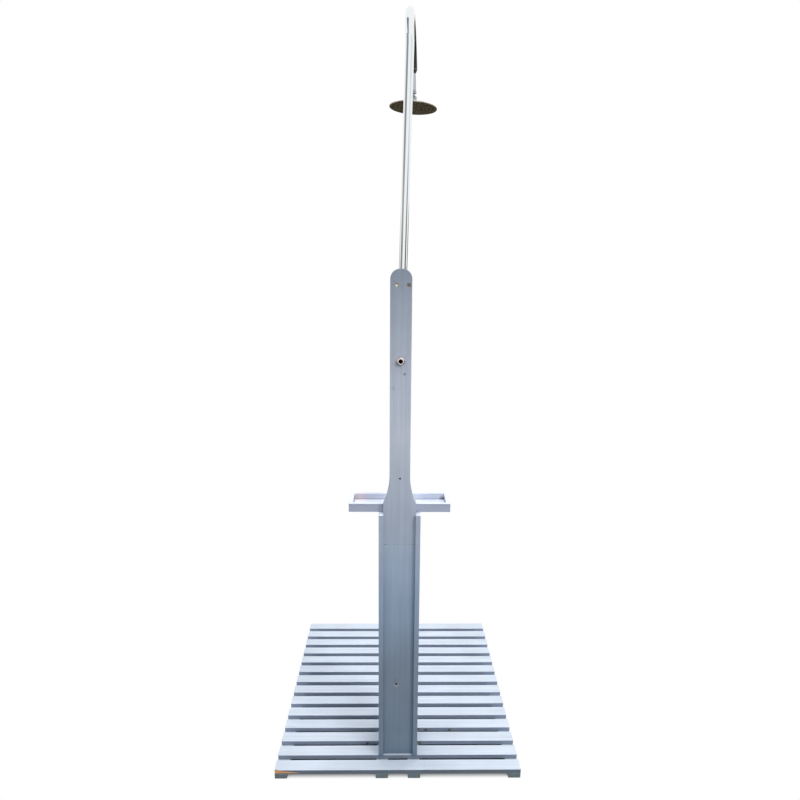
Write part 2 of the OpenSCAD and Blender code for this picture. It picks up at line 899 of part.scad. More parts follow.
// Socket-head bolts, their heads sunk in the back of the paddle
module clip_bolts() {
  color("#c8b469") at_clip_bolts() difference() {
    union() {
      cylinder(r = bolt_r, h = bolt_end - bolt_seat);
      translate([0, 0, -bolt_head]) cylinder(r = bolt_head_r, h = bolt_head);
    }
    translate([0, 0, -bolt_head - over])
      cylinder(d = bolt_socket_af / cos(30), h = bolt_socket + over, $fn = 6);
  }
}

// Domed nuts on the front of the clip
module clip_nuts() {
  color(steel) leaning() for (side = [-1, 1])
    translate([side * clip_spacing / 2, clip_cap_t, clip_z]) pointing("front") difference() {
      union() {
        rotate(30) hex_blank(nut_af, nut_h - nut_roof, nut_chamfer);
        translate([0, 0, nut_h - nut_dome_r / 2]) sphere(r = nut_dome_r);
      }
      translate([0, 0, -nut_h - over]) cylinder(r = nut_af, h = nut_h + over);
      translate([0, 0, -over]) cylinder(r = bolt_r + snug, h = nut_h - nut_roof + snug + over);
    }
}

// Turned reducer, welded to the end of the bend, with the nipple that screws into the collar
module outlet_nipple() {
  inner = outlet_r - outlet_wall;
  low = -outlet_end - collar_bite;
  color(steel) outlet() rotate_extrude() polygon([
    [bore_r, 0], [riser_r, 0], [riser_r, -swage_lip], [outlet_r + swage_step, swage_step - swage_l],
    [outlet_r + swage_step, -swage_l], [outlet_r, -swage_l], [outlet_r, low], [inner, low],
    [inner, -swage_l], [bore_r, -swage_lip]
  ]);
}

// Collar, stem and ball in one turned piece
module ball_stem() {
  bite_r = outlet_r + snug;
  color(steel) outlet() translate([0, 0, -ball_z]) difference() {
    union() {
      translate([0, 0, ball_drop]) rotate_extrude() polygon([
        [0, 0], [collar_r - collar_edge, 0], [collar_r, collar_edge],
        [collar_r, collar_h - collar_edge], [collar_r - collar_edge, collar_h], [0, collar_h]
      ]);
      cylinder(r = stem_r, h = ball_drop + over);
      sphere(r = ball_r);
    }
    translate([0, 0, ball_drop + collar_h - collar_bite - snug])
      cylinder(r = bite_r, h = collar_bite + snug + over);
    translate([0, 0, -ball_r - over]) cylinder(r = water_r, h = ball_r + ball_drop + collar_h);
  }
}

// Ring nut that traps the ball on the head
module ball_nut() {
  color(steel) head_frame() difference() {
    rotate_extrude() polygon([
      [0, -nut_low], [nut_r - nut_edge, -nut_low], [nut_r, nut_edge - nut_low],
      [nut_r, nut_lip - nut_edge], [nut_r - nut_edge, nut_lip], [0, nut_lip]
    ]);
    sphere(r = ball_r + run);
    translate([0, 0, -nut_low - over]) cylinder(r = neck_thread_r + snug, h = nut_low + over);
  }
}

// Height of the dome's outer face above its foot at a radius
function dome_at(r) = dome_h * (1 - pow((r - dome_neck_r) / (head_r - dome_neck_r), 2));

// Pressed shell with the threaded spigot that seats the ball
module head_shell() {
  rs = [for (i = [0:dome_steps]) dome_neck_r + (head_r - dome_neck_r) * i / dome_steps];
  inner_r = head_r - head_wall;
  color(steel) head_frame() difference() {
    translate([0, 0, -face_z]) rotate_extrude() polygon(concat(
      [[water_r, face_z - spigot_seat], [neck_thread_r, face_z - spigot_seat],
       [neck_thread_r, face_z - dome_top], [dome_neck_r, face_z - dome_top]],
      [for (i = [1:dome_steps]) [rs[i], rim_h + dome_at(rs[i])]],
      [[head_r, 0], [inner_r, 0], [inner_r, plate_sink + plate_thick + mat_t]],
      [for (i = [dome_steps - 1:-1:0]) [rs[i] - head_wall, rim_h + dome_at(rs[i]) - head_wall]],
      [[water_r, rim_h + dome_h - head_wall]]
    ));
    sphere(r = ball_r + run);
  }
}

// Places of the nozzles on rings about the head's axis
module at_nozzles() {
  ring_step = (head_r - nozzle_edge) / nozzle_rings;
  for (ring = [1:nozzle_rings]) for (k = [1:ring * nozzle_step])
    rotate(360 * k / (ring * nozzle_step)) translate([ring * ring_step, 0, 0]) children();
}

module nozzle_plate() {
  color("#6b6a5c") head_frame() translate([0, 0, plate_sink - face_z]) difference() {
    cylinder(r = head_r - head_wall - snug, h = plate_thick);
    at_nozzles() translate([0, 0, -over]) cylinder(r = nozzle_r + snug, h = plate_thick + 2 * over);
  }
}

// One soft mat that carries every nozzle through the plate
module nozzle_mat() {
  color(dark_rubber) head_frame() translate([0, 0, plate_sink + plate_thick - face_z]) {
    cylinder(r = head_r - head_wall - snug, h = mat_t - snug);
    at_nozzles() translate([0, 0, -plate_thick - nozzle_out])
      cylinder(r = nozzle_r, h = plate_thick + nozzle_out + mat_t / 2);
  }
}

for (i = [1:slat_count]) {
  deck_slat(i);
}
for (i = [0:3]) {
  skid(i);
}
slat_screws();
cheek_left();
cheek_right();
rear_panel();
front_panel();
base_block();
spreader_block();
splice_block();
cheek_screws();
panel_screws();
splice_screws();
post_screws();
paddle();
tray_floor();
tray_front_rail();
tray_back_rail();
tray_left_end();
tray_right_end();
tray_pins();
tray_screws();
inlet_nipple();
mounting_plate();
plate_screws();
valve_body();
cartridge();
bonnet_nut();
spindle();
handle();
handle_screw();
union_nut();
pipe_seal();
riser_pipe();
clip_base();
clip_cap();
clip_bolts();
clip_nuts();
outlet_nipple();
ball_stem();
ball_nut();
head_shell();
nozzle_plate();
nozzle_mat();
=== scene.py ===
import json
import math
import bmesh
import bpy
from mathutils import Matrix, Vector


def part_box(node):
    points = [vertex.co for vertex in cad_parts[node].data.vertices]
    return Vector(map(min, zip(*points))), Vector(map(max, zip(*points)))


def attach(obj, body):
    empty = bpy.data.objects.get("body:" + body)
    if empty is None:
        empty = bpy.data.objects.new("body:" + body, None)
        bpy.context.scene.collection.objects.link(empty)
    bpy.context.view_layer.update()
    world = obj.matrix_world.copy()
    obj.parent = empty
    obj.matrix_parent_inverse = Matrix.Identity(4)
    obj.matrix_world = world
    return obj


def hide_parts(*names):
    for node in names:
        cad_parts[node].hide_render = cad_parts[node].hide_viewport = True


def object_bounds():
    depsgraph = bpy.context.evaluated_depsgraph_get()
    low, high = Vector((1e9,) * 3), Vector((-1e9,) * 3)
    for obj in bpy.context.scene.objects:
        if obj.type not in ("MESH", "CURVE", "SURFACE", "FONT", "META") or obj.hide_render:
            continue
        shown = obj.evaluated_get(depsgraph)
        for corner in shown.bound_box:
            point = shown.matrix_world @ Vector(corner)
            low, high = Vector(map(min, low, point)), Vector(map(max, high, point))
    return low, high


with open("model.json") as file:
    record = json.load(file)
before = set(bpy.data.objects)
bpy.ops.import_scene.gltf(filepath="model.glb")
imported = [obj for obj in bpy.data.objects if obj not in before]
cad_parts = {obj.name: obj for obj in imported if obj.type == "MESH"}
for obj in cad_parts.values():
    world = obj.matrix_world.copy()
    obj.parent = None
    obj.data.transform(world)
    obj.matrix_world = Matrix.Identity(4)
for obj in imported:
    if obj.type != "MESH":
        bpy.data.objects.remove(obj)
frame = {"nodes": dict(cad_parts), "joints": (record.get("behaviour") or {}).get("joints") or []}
cad_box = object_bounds()
mm = 0.001

# Skids: four sawn softwood battens that lie on the ground and carry the slats. They were stained
# blue-grey, their arrises are eased with sandpaper, and each slat is screwed to them from below.
skid_ease = 1.2 * mm
merge_distance = 0.005 * mm
flat_angle = 0.3
arris_angle = 60
shortest_arris = 100 * mm
skid_tone = "#808c91"
# The skids' faces that look up take this lighter tone, painted light from above.
skid_lit_top = "#bfc8d1"


def linear(colour):
    """Turns an sRGB hex value into the linear colour that a shader works in."""
    channels = [int(colour[i:i + 2], 16) / 255 for i in (1, 3, 5)]
    return [c / 12.92 if c <= 0.04045 else ((c + 0.055) / 1.055) ** 2.4 for c in channels] + [1.0]


def add(tree, kind, inputs, stops=(), **settings):
    """Adds a node. An input takes a value or, where it is given a socket, a link."""
    node = tree.nodes.new("ShaderNode" + kind)
    for name, value in settings.items():
        setattr(node, name, value)
    for name, value in inputs.items():
        if isinstance(value, bpy.types.NodeSocket):
            tree.links.new(value, node.inputs[name])
        else:
            node.inputs[name].default_value = value
    for i, (place, colour) in enumerate(stops):
        elements = node.color_ramp.elements
        stop = elements[i] if i < 2 else elements.new(place)
        stop.position = place
        stop.color = linear(colour)
    return node


def blank_material(name):
    """A new material with nothing in its tree but the output, whose surface is returned too."""
    material = bpy.data.materials.new(name)
    material.use_nodes = True
    tree = material.node_tree
    tree.nodes.remove(tree.nodes["Principled BSDF"])
    return material, tree, tree.nodes["Material Output"].inputs["Surface"]


def marked(tree, place, noise, colour, marks):
    """Lays marks over a colour. Each is a place, a radius and a tone, and a noise frays them."""
    for spot, radius, tone in marks:
        reach = add(tree, "VectorMath", {0: place.outputs["Object"], 1: spot},
                    operation="DISTANCE")
        ragged = add(tree, "Math", {0: noise.outputs["Fac"], 1: radius, 2: reach.outputs["Value"]},
                     operation="MULTIPLY_ADD")
        inside = add(tree, "MapRange", {"Value": ragged.outputs[0], "From Min": 1.5 * radius,
                                        "From Max": 0.9 * radius})
        colour = add(tree, "Mix", {0: inside.outputs[0], 6: colour, 7: linear(tone)},
                     data_type="RGBA").outputs[2]
    return colour


def stained_softwood(name, along, tones, top, streak_width, streak_length, depth=0.08, scuff=None,
                     marks=()):
    """Spruce under a thin opaque stain: faint streaks of grain show through along the board, the
    faces that look up take the top tone, painted light from above, the stain is painted darker in
    creases and corners as shade, and the sheen is low. tones is one tone, or a list of heights
    and tones up the board. scuff is the tone of the rubbed patches on the upright faces, and marks
    is a list of a place, a radius and a tone, for knots, chips and small darker spots, and also
    for painted highlights and painted shade."""
    material, tree, surface = blank_material(name)
    place = add(tree, "TexCoord", {})
    where = add(tree, "SeparateXYZ", {"Vector": place.outputs["Object"]})
    facing = add(tree, "SeparateXYZ", {"Vector": place.outputs["Normal"]})
    scale = [1 / streak_width] * 3
    scale["XYZ".index(along)] = 1 / streak_length
    stretched = add(tree, "Mapping", {"Vector": place.outputs["Object"], "Scale": scale})
    streaks = add(tree, "TexNoise", {"Vector": stretched.outputs[0], "Scale": 1.0, "Detail": 5.0,
                                     "Roughness": 0.62})
    fibres = add(tree, "TexNoise", {"Vector": stretched.outputs[0], "Scale": 5.0, "Detail": 3.0})
    patches = add(tree, "TexNoise", {"Vector": place.outputs["Object"], "Scale": 9.0,
                                     "Detail": 3.0})
    painted_top_light = add(tree, "MapRange", {"Value": facing.outputs["Z"], "From Min": 0.5,
                                    "From Max": 0.9})
    if isinstance(tones, str):
        tone = add(tree, "RGB", {})
        tone.outputs[0].default_value = linear(tones)
    else:
        foot, head = tones[0][0], tones[-1][0]
        share = add(tree, "MapRange", {"Value": where.outputs["Z"], "From Min": foot,
                                       "From Max": head})
        tone = add(tree, "ValToRGB", {"Fac": share.outputs[0]},
                   stops=[((z - foot) / (head - foot), colour) for z, colour in tones])
    stain = tone.outputs[0]
    if scuff:
        rubbed = add(tree, "TexNoise", {"Vector": stretched.outputs[0], "Scale": 0.55,
                                        "Detail": 4.0, "Roughness": 0.7})
        share = add(tree, "MapRange", {"Value": rubbed.outputs["Fac"], "From Min": 0.52,
                                       "From Max": 0.68, "To Max": 0.75})
        stain = add(tree, "Mix", {0: share.outputs[0], 6: stain, 7: linear(scuff)},
                    data_type="RGBA").outputs[2]
    # Painted light: the faces that look up take the top tone, for the light that falls on them from
    # above.
    stain = add(tree, "Mix", {0: painted_top_light.outputs[0], 6: stain, 7: linear(top)},
                data_type="RGBA").outputs[2]
    stain = marked(tree, place, fibres, stain, marks)
    grain = add(tree, "MapRange", {"Value": streaks.outputs["Fac"], "From Min": 0.3,
                                   "From Max": 0.7, "To Min": 1 - depth, "To Max": 1 + depth})
    worn = add(tree, "MapRange", {"Value": patches.outputs["Fac"], "From Min": 0.3,
                                  "From Max": 0.7, "To Min": 0.95, "To Max": 1.05})
    # Painted shade: the stain is darkened where ambient occlusion finds creases and corners.
    crease = add(tree, "AmbientOcclusion", {"Distance": 7 * mm}, samples=4)
    crease_shade = add(tree, "MapRange", {"Value": crease.outputs["AO"], "From Min": 0.35,
                                  "From Max": 0.75, "To Min": 0.6, "To Max": 1.0})
    level = add(tree, "Math", {0: grain.outputs[0], 1: worn.outputs[0]}, operation="MULTIPLY")
    level = add(tree, "Math", {0: level.outputs[0], 1: crease_shade.outputs[0]}, operation="MULTIPLY")
    colour = add(tree, "VectorMath", {0: stain, "Scale": level.outputs[0]}, operation="SCALE")
    sheen = add(tree, "MapRange", {"Value": fibres.outputs["Fac"], "To Min": 0.5, "To Max": 0.72})
    relief = add(tree, "Bump", {"Height": fibres.outputs["Fac"], "Strength": 0.25,
                                "Distance": 0.4 * mm})
    shader = add(tree, "BsdfPrincipled", {"Base Color": colour.outputs[0],
                                          "Roughness": sheen.outputs[0],
                                          "Normal": relief.outputs[0]})
    tree.links.new(shader.outputs[0], surface)
    return material


def welded(node_name):
    """A copy of a CAD node's mesh, with its loose triangles joined and its flat faces whole."""
    bm = bmesh.new()
    bm.from_mesh(frame["nodes"][node_name].data)
    bmesh.ops.remove_doubles(bm, verts=bm.verts, dist=merge_distance)
    bmesh.ops.dissolve_limit(bm, angle_limit=math.radians(flat_angle), verts=bm.verts,
                             edges=bm.edges)
    return bm


def sharp_outlines(bm, angle, least):
    """The edges that stand out of a mesh by more than an angle in degrees and join up to an
    outline longer than a length, which leaves out the rims of drilled holes."""
    sharp = {e for e in bm.edges if len(e.link_faces) == 2
             and e.calc_face_angle_signed() > math.radians(angle)}
    outlines = []
    while sharp:
        outline = [sharp.pop()]
        for edge in outline:
            near = [e for vert in edge.verts for e in vert.link_edges if e in sharp]
            sharp.difference_update(near)
            outline += set(near)
        if sum(e.calc_length() for e in outline) > least:
            outlines += outline
    return outlines


def round_over(bm, edges, radius, segments=3):
    """Rounds edges to a radius."""
    bmesh.ops.bevel(bm, geom=edges, offset=radius, offset_type="OFFSET", segments=segments,
                    profile=0.5, affect="EDGES", clamp_overlap=True, material=-1)


def object_from(bm, name, materials):
    """Makes an object of a mesh and its materials, and puts it in the scene."""
    mesh = bpy.data.meshes.new(name)
    bm.to_mesh(mesh)
    bm.free()
    for material in materials:
        mesh.materials.append(material)
    made = bpy.data.objects.new(name, mesh)
    bpy.context.scene.collection.objects.link(made)
    return made


def piece_from(bm, name, materials, body, slot, *nodes):
    """Makes a piece of a mesh, rides it on a body and lets it stand for its CAD nodes."""
    piece = object_from(bm, name, materials)
    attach(piece, body)
    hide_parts(*nodes)
    return piece


def eased_board(node_name, ease, material, slot):
    """A board as it was planed, cut and drilled, with its arrises eased."""
    bm = welded(node_name)
    round_over(bm, sharp_outlines(bm, arris_angle, shortest_arris), ease)
    return piece_from(bm, node_name + "_board", [material], "root", slot, node_name)


skid_stain = stained_softwood("skid_stain", "Y", skid_tone, skid_lit_top, streak_width=9 * mm,
                              streak_length=260 * mm)
for skid in ("skid_left", "skid_mid_left", "skid_mid_right", "skid_right"):
    eased_board(skid, skid_ease, skid_stain, "skid_paint")

# Slats: fourteen planed softwood boards laid across the skids with an open gap between them. Their
# tops take an almost white tone, painted light from above, and their upright faces keep the stain,
# muddied in places. The inner slats' upright faces, shaded in the narrow gaps, take a lighter
# stain, painted light. The rearmost one is scuffed, has a small darker spot on its top and has
# lost a long splinter at its left end.
slat_ease = 1.0 * mm
slat_tone = "#778491"
# The slats' faces that look up take this tone, painted light from above.
slat_lit_top = "#d2dae4"
slat_scuff = "#857d73"
chip_length = 80 * mm
chip_height = 10.5 * mm
chip_depth = 3 * mm
chip_over = 5 * mm
chip_tip = 0.93
chip_heel = -0.2


def raw_softwood(name, along, pale, ring):
    """Bare spruce: bands of pale early wood and darker late wood a few millimetres apart."""
    material, tree, surface = blank_material(name)
    place = add(tree, "TexCoord", {})
    scale = [1.0, 1.0, 1.0]
    scale["XYZ".index(along)] = 0.06
    stretched = add(tree, "Mapping", {"Vector": place.outputs["Object"], "Scale": scale})
    wander = add(tree, "TexNoise", {"Vector": stretched.outputs[0], "Scale": 30.0, "Detail": 4.0})
    bent = add(tree, "VectorMath", {0: wander.outputs["Color"], 1: (0.02, 0.02, 0.02),
                                    2: stretched.outputs[0]}, operation="MULTIPLY_ADD")
    rings = add(tree, "TexWave", {"Vector": bent.outputs[0], "Scale": 60.0, "Distortion": 1.5,
                                  "Detail": 2.0}, wave_type="RINGS")
    tone = add(tree, "ValToRGB", {"Fac": rings.outputs["Fac"]}, stops=[(0.1, pale), (0.9, ring)])
    relief = add(tree, "Bump", {"Height": rings.outputs["Fac"], "Strength": 0.3,
                                "Distance": 0.3 * mm})
    shader = add(tree, "BsdfPrincipled", {"Base Color": tone.outputs["Color"], "Roughness": 0.7,
                                          "Normal": relief.outputs[0]})
    tree.links.new(shader.outputs[0], surface)
    return material


olive = "#8d8468"
rust = "#84706c"
face_marks = [((x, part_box(slat)[0].y, z), radius, tone) for slat, x, z, radius, tone in (
    ("slat_04", 0.100, 0.022, 8 * mm, "#807c6e"), ("slat_04", 0.185, 0.022, 7 * mm, "#79766d"),
    ("slat_04", 0.074, 0.026, 7 * mm, olive), ("slat_03", 0.076, 0.024, 8 * mm, olive),
    ("slat_03", -0.105, 0.022, 7 * mm, rust))]
top_dark_spot = ((0.086, -0.386, 0.032), 2.2 * mm, "#97a0a8")
deck_stain = stained_softwood("deck_stain", "X", slat_tone, slat_lit_top, streak_width=7 * mm,
                              streak_length=300 * mm, depth=0.07, scuff=slat_scuff,
                              marks=[top_dark_spot])
# Painted light: the inner slats' upright faces, shaded in the narrow gaps, take this lighter stain.
gap_lit_stain = stained_softwood("gap_lit_stain", "X", "#a4b1c4", slat_lit_top, streak_width=7 * mm,
                               streak_length=300 * mm, depth=0.09, marks=face_marks)
splintered_wood = raw_softwood("splintered_wood", "X", "#ffd29a", "#f0b070")
slats = sorted(n for n in frame["nodes"] if n[:5] == "slat_" and n[5:].isdigit())
for slat in slats:
    eased_board(slat, slat_ease, deck_stain if slat == slats[0] else gap_lit_stain, "deck_paint")

# The splinter leaves a bare wedge in the upright face: full at the slat's end, and running out to
# a point along the grain. A cutter of that form takes it off the slat.
low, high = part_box(slats[0])
bm = bmesh.new()
bmesh.ops.create_cube(bm, size=1.0)
for vert in bm.verts:
    at_point = vert.co.x > 0
    share = 1.0 if vert.co.z < 0 else (chip_tip if at_point else chip_heel)
    vert.co = (low.x + (chip_length if at_point else -chip_over),
               low.y + (0 if at_point else chip_depth) if vert.co.y > 0 else low.y - chip_over,
               high.z - share * chip_height)
cutter = object_from(bm, "flake", [splintered_wood])
chipped = bpy.data.objects[slats[0] + "_board"]
cut = chipped.modifiers.new("flake", "BOOLEAN")
cut.object = cutter
cut.material_mode = "TRANSFER"
bpy.context.view_layer.update()
depsgraph = bpy.context.evaluated_depsgraph_get()
chipped_mesh = bpy.data.meshes.new_from_object(chipped.evaluated_get(depsgraph))
chipped.modifiers.remove(cut)
chipped.data = chipped_mesh
bpy.data.objects.remove(cutter)

# Cheeks and panels: the column is a box of four upright boards. The two cheeks stand on the slats
# and the panels slide in grooves between them. Its stain is darker towards the foot, and the faces
# that look up take a lighter tone, painted light from above. The rear panel has a small darker
# spot, and rust has run round its one screw.
column_ease = 1.4 * mm
column_tones = [(0.0, "#7e90a3"), (0.15, "#8798a9"), (0.36, "#8d9dad"), (0.47, "#99abbf"),
                (0.58, "#a6b8ce"), (0.70, "#b3c4d8"), (0.80, "#bdcadb")]
# Painted light: the column's faces that look up take this lighter tone.
column_lit_top = "#d6dde8"
screw_head = 4 * mm
low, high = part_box("panel_screws")
screw_x, screw_z = low.x + screw_head, (low.z + high.z) / 2
column_marks = [((-0.024, low.y, 0.560), 5 * mm, "#a7b3be"),
                ((screw_x, low.y, screw_z + 14 * mm), 10 * mm, "#8e949f"),
                ((screw_x, low.y, screw_z - 3 * mm), 9 * mm, "#beb3bb"),
                ((screw_x, low.y, screw_z + 1 * mm), 3.6 * mm, "#5a4c4a")]
column_stain = stained_softwood("column_stain", "Z", column_tones, column_lit_top,
                                streak_width=12 * mm, streak_length=420 * mm, marks=column_marks)
for board in ("cheek_left", "cheek_right", "rear_panel", "front_panel"):
    eased_board(board, column_ease, column_stain, "column_paint")

# Foot block, spreader and splice: offcuts of bare softwood screwed inside the column to hold its
# boards apart and to back the joint between the rear panel and the paddle.
offcut_ease = 0.5 * mm
offcut_wood = raw_softwood("offcut_wood", "X", "#dcc29a", "#b98f5c")
for block in ("base_block", "spreader_block", "splice_block"):
    eased_board(block, offcut_ease, offcut_wood, "raw_pine")

# Paddle: one board cut to a long neck with a round top and a flared foot, routed to a soft edge
# all round, drilled for the inlet, the clip's bolts and a hook, and stained with the column. A
# flake has come off its crown and a few small darker spots show. A darker disc of painted shade
# rings the inlet, painted light catches the lips of the bolts' recesses, and the faces that look
# up take a darker tone, painted shade.
paddle_ease = 2.0 * mm
recess_radius = 5.5 * mm
bolt_head = 4.3 * mm
crown_tones = [(0.78, "#bac7d5"), (0.90, "#c2cad8"), (1.00, "#cbd3e0"), (1.12, "#d8dde9"),
               (1.30, "#cdd3e0"), (1.43, "#bbc3ce"), (1.52, "#adb6c2"), (1.62, "#97a0ae")]
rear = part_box("paddle")[0].y
low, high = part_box("clip_bolts")
left_bolt, right_bolt = low.x + bolt_head, high.x - bolt_head
lip_z = (low.z + high.z) / 2 - recess_radius
paddle_marks = [((0.0175, rear + 0.5 * mm, 1.615), 3 * mm, "#877c7a"),
                ((0.0115, rear, 1.319), 5.5 * mm, "#979cab"),
                # Painted shade: a darker disc round the inlet.
                ((0.0, rear, 1.357), 15.5 * mm, "#b0b5c2"),
                ((-0.022, rear, 1.277), 8 * mm, "#c3c9d4"),
                # Painted light: the lips of the bolts' recesses, bright on the left and dimmer on
                # the right.
                ((left_bolt, rear, lip_z + 2 * mm), 3.2 * mm, "#fffce6"),
                ((right_bolt, rear, lip_z), 3.5 * mm, "#c3b0ad")]
# Painted shade: the paddle's faces that look up take a darker tone.
paddle_stain = stained_softwood("paddle_stain", "Z", crown_tones, "#6f7884",
                                streak_width=12 * mm, streak_length=420 * mm, marks=paddle_marks)
paddle = eased_board("paddle", paddle_ease, paddle_stain, "column_paint")

# Soap tray: two long rails and two short ends round a thin floor, pinned and screwed together. Its
# stain is thin, and the bare wood glows through it in the inner corners. The far rail takes a
# lighter stain, painted light bounced on to it from the tray's floor, and the faces that look up
# take a lighter tone, painted light from above.
tray_ease = 0.8 * mm
tray_tone = "#c2c9dc"
# The tray's faces that look up take this lighter tone, painted light from above.
tray_lit_top = "#d9dfea"
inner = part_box("tray_front_rail")[0].y
long_marks = [((x, inner, z), radius, tone) for x, z, radius, tone in (
    (-0.128, 0.900, 34 * mm, "#e6dde4"), (-0.142, 0.902, 17 * mm, "#e6d8d6"),
    (0.100, 0.900, 45 * mm, "#d0d5e3"), (0.136, 0.899, 9 * mm, "#c2bbc6"),
    (0.142, 0.897, 6 * mm, "#a0888a"))]
long_stain = stained_softwood("long_rail_stain", "X", tray_tone, tray_lit_top, streak_width=7 * mm,
                              streak_length=160 * mm, depth=0.06, marks=long_marks)
short_stain = stained_softwood("tray_end_stain", "Y", tray_tone, tray_lit_top, streak_width=7 * mm,
                               streak_length=90 * mm, depth=0.06)
# Painted light: the far rail's lighter stain stands in for light bounced on to it from the tray's
# floor.
far_lit_stain = stained_softwood("far_rail_lit_stain", "X", "#e3e6f0", tray_lit_top, streak_width=7 * mm,
                             streak_length=160 * mm, depth=0.06, marks=long_marks)
for board, stain in (("tray_front_rail", far_lit_stain), ("tray_back_rail", long_stain),
                     ("tray_floor", long_stain), ("tray_left_end", short_stain),
                     ("tray_right_end", short_stain)):
    eased_board(board, tray_ease, stain, "column_paint")

# Screws and pins: zinc-plated countersunk wood screws with a cross recess, driven just below the
# surface, and headless steel pins through the tray's corners.
recess_width = 1.5 * mm
recess_reach = 2.6 * mm
recess_depth = 1.8 * mm
head_sink = 0.3 * mm
head_gap = 0.1 * mm
cross_share = 0.7
cross_taper = 0.6
lathe_merge = 0.001 * mm
screw_sides = 20


def plated_steel(name, tone, patch, roughness, marks=()):
    """Zinc-plated steel, dipped and passivated: a dull metal with soft patches of another tint,
    and with marks as on the softwood."""
    material, tree, surface = blank_material(name)
    place = add(tree, "TexCoord", {})
    patches = add(tree, "TexNoise", {"Vector": place.outputs["Object"], "Scale": 350.0,
                                     "Detail": 3.0})
    colour = add(tree, "Mix", {0: patches.outputs["Fac"], 6: linear(tone), 7: linear(patch)},
                 data_type="RGBA")
    colour = marked(tree, place, patches, colour.outputs[2], marks)
    dullness = add(tree, "MapRange", {"Value": patches.outputs["Fac"],
                                      "To Min": roughness - 0.1, "To Max": roughness + 0.1})
    shader = add(tree, "BsdfPrincipled", {"Base Color": colour, "Metallic": 1.0,
                                          "Roughness": dullness.outputs[0]})
    tree.links.new(shader.outputs[0], surface)
    return material


def separate_solids(node_name):
    """The points of each separate solid in a CAD node."""
    bm = welded(node_name)
    left = set(bm.verts)
    solids = []
    while left:
        solid = [left.pop()]
        for vert in solid:
            near = [e.other_vert(vert) for e in vert.link_edges if e.other_vert(vert) in left]
            left.difference_update(near)
            solid += near
        solids.append([v.co.copy() for v in solid])
    bm.free()
    return solids


def screw_place(points):
    """The place of a screw: its origin at the middle of the head's face, its point along +Z."""
    low = Vector(min(p[i] for p in points) for i in range(3))
    high = Vector(max(p[i] for p in points) for i in range(3))
    middle, size = (low + high) / 2, high - low
    axis = max(range(3), key=lambda i: size[i])
    rim = max(points, key=lambda p: (p - middle).length_squared
              - (p[axis] - middle[axis]) ** 2)
    way = Vector((0, 0, 0))
    way[axis] = -1 if rim[axis] > middle[axis] else 1
    head = middle - way * size[axis] / 2
    across = min(size[i] for i in range(3) if i != axis)
    turn = way.to_track_quat("Z", "Y").to_matrix().to_4x4()
    return Matrix.Translation(head) @ turn, across / 2, size[axis]


def turned(bm, outline, place, steps=64, open_ended=False):
    """Adds a piece turned on a lathe: radii and heights of its outline, spun round a place's Z
    axis. An outline that starts and ends on the axis is open ended."""
    old = set(bm.verts)
    points = [bm.verts.new((radius, 0, height)) for radius, height in outline]
    after = points[1:] if open_ended else points[1:] + points[:1]
    edges = [bm.edges.new(pair) for pair in zip(points, after)]
    bmesh.ops.spin(bm, geom=points + edges, cent=(0, 0, 0), axis=(0, 0, 1), angle=math.tau,
                   steps=steps, use_merge=True)
    bmesh.ops.remove_doubles(bm, verts=[v for v in bm.verts if v not in old], dist=lathe_merge)
    fresh = [v for v in bm.verts if v not in old]
    faces = list({f for v in fresh for f in v.link_faces})
    bmesh.ops.recalc_face_normals(bm, faces=faces)
    bmesh.ops.transform(bm, matrix=place, verts=fresh)


def drive_screw(bm, place, head_radius, length):
    """Adds a countersunk screw: shank and cone are turned, and a cross is stamped in the head."""
    shank = head_radius / 2
    rim = head_radius - head_gap
    old = set(bm.verts)
    turned(bm, [(rim, head_sink), (rim, 2 * head_sink), (shank, head_radius - shank),
                (shank, length - 2 * shank), (0, length)], Matrix.Identity(4), steps=screw_sides,
           open_ended=True)
    mouth = [e for v in bm.verts if v not in old for e in v.link_edges if e.is_boundary]
    reach = min(recess_reach, cross_share * head_radius)
    half = recess_width / 2
    quarter = [Vector((reach, -half, head_sink)), Vector((reach, half, head_sink)),
               Vector((half, half, head_sink))]
    corners = [bm.verts.new(Matrix.Rotation(turn * math.pi / 2, 3, "Z") @ point)
               for turn in range(4) for point in quarter]
    cross = [bm.edges.new(pair) for pair in zip(corners, corners[1:] + corners[:1])]
    grown = bmesh.ops.extrude_edge_only(bm, edges=cross)["geom"]
    floor = [g for g in grown if isinstance(g, bmesh.types.BMVert)]
    bmesh.ops.translate(bm, vec=(0, 0, recess_depth), verts=floor)
    bmesh.ops.scale(bm, vec=(cross_taper, cross_taper, 1), verts=floor)
    bmesh.ops.contextual_create(bm, geom=[e for e in grown if isinstance(e, bmesh.types.BMEdge)
                                          and all(v in floor for v in e.verts)])
    bmesh.ops.triangle_fill(bm, edges=list(set(mouth)) + cross, use_beauty=True)
    fresh = [v for v in bm.verts if v not in old]
    bmesh.ops.recalc_face_normals(bm, faces=list({f for v in fresh for f in v.link_faces}))
    bmesh.ops.transform(bm, matrix=place, verts=fresh)


def drive_screws(node_name, material):
    """Drives the screws of a CAD node, each where its solid is."""
    bm = bmesh.new()
    for points in separate_solids(node_name):
        drive_screw(bm, *screw_place(points))
    piece_from(bm, node_name + "_driven", [material], "root", "zinc_steel", node_name)


zinc_plate = plated_steel("zinc_plate", "#a9a79c", "#8c8a83", roughness=0.45)
rusty_zinc = plated_steel("rusty_zinc", "#4a3b38", "#2c2322", roughness=0.6)
for screws in ("slat_screws", "cheek_screws", "panel_screws", "splice_screws", "post_screws",
               "tray_screws", "plate_screws"):
    drive_screws(screws, rusty_zinc if screws == "panel_screws" else zinc_plate)
frame["nodes"]["tray_pins"].data.materials[0] = zinc_plate

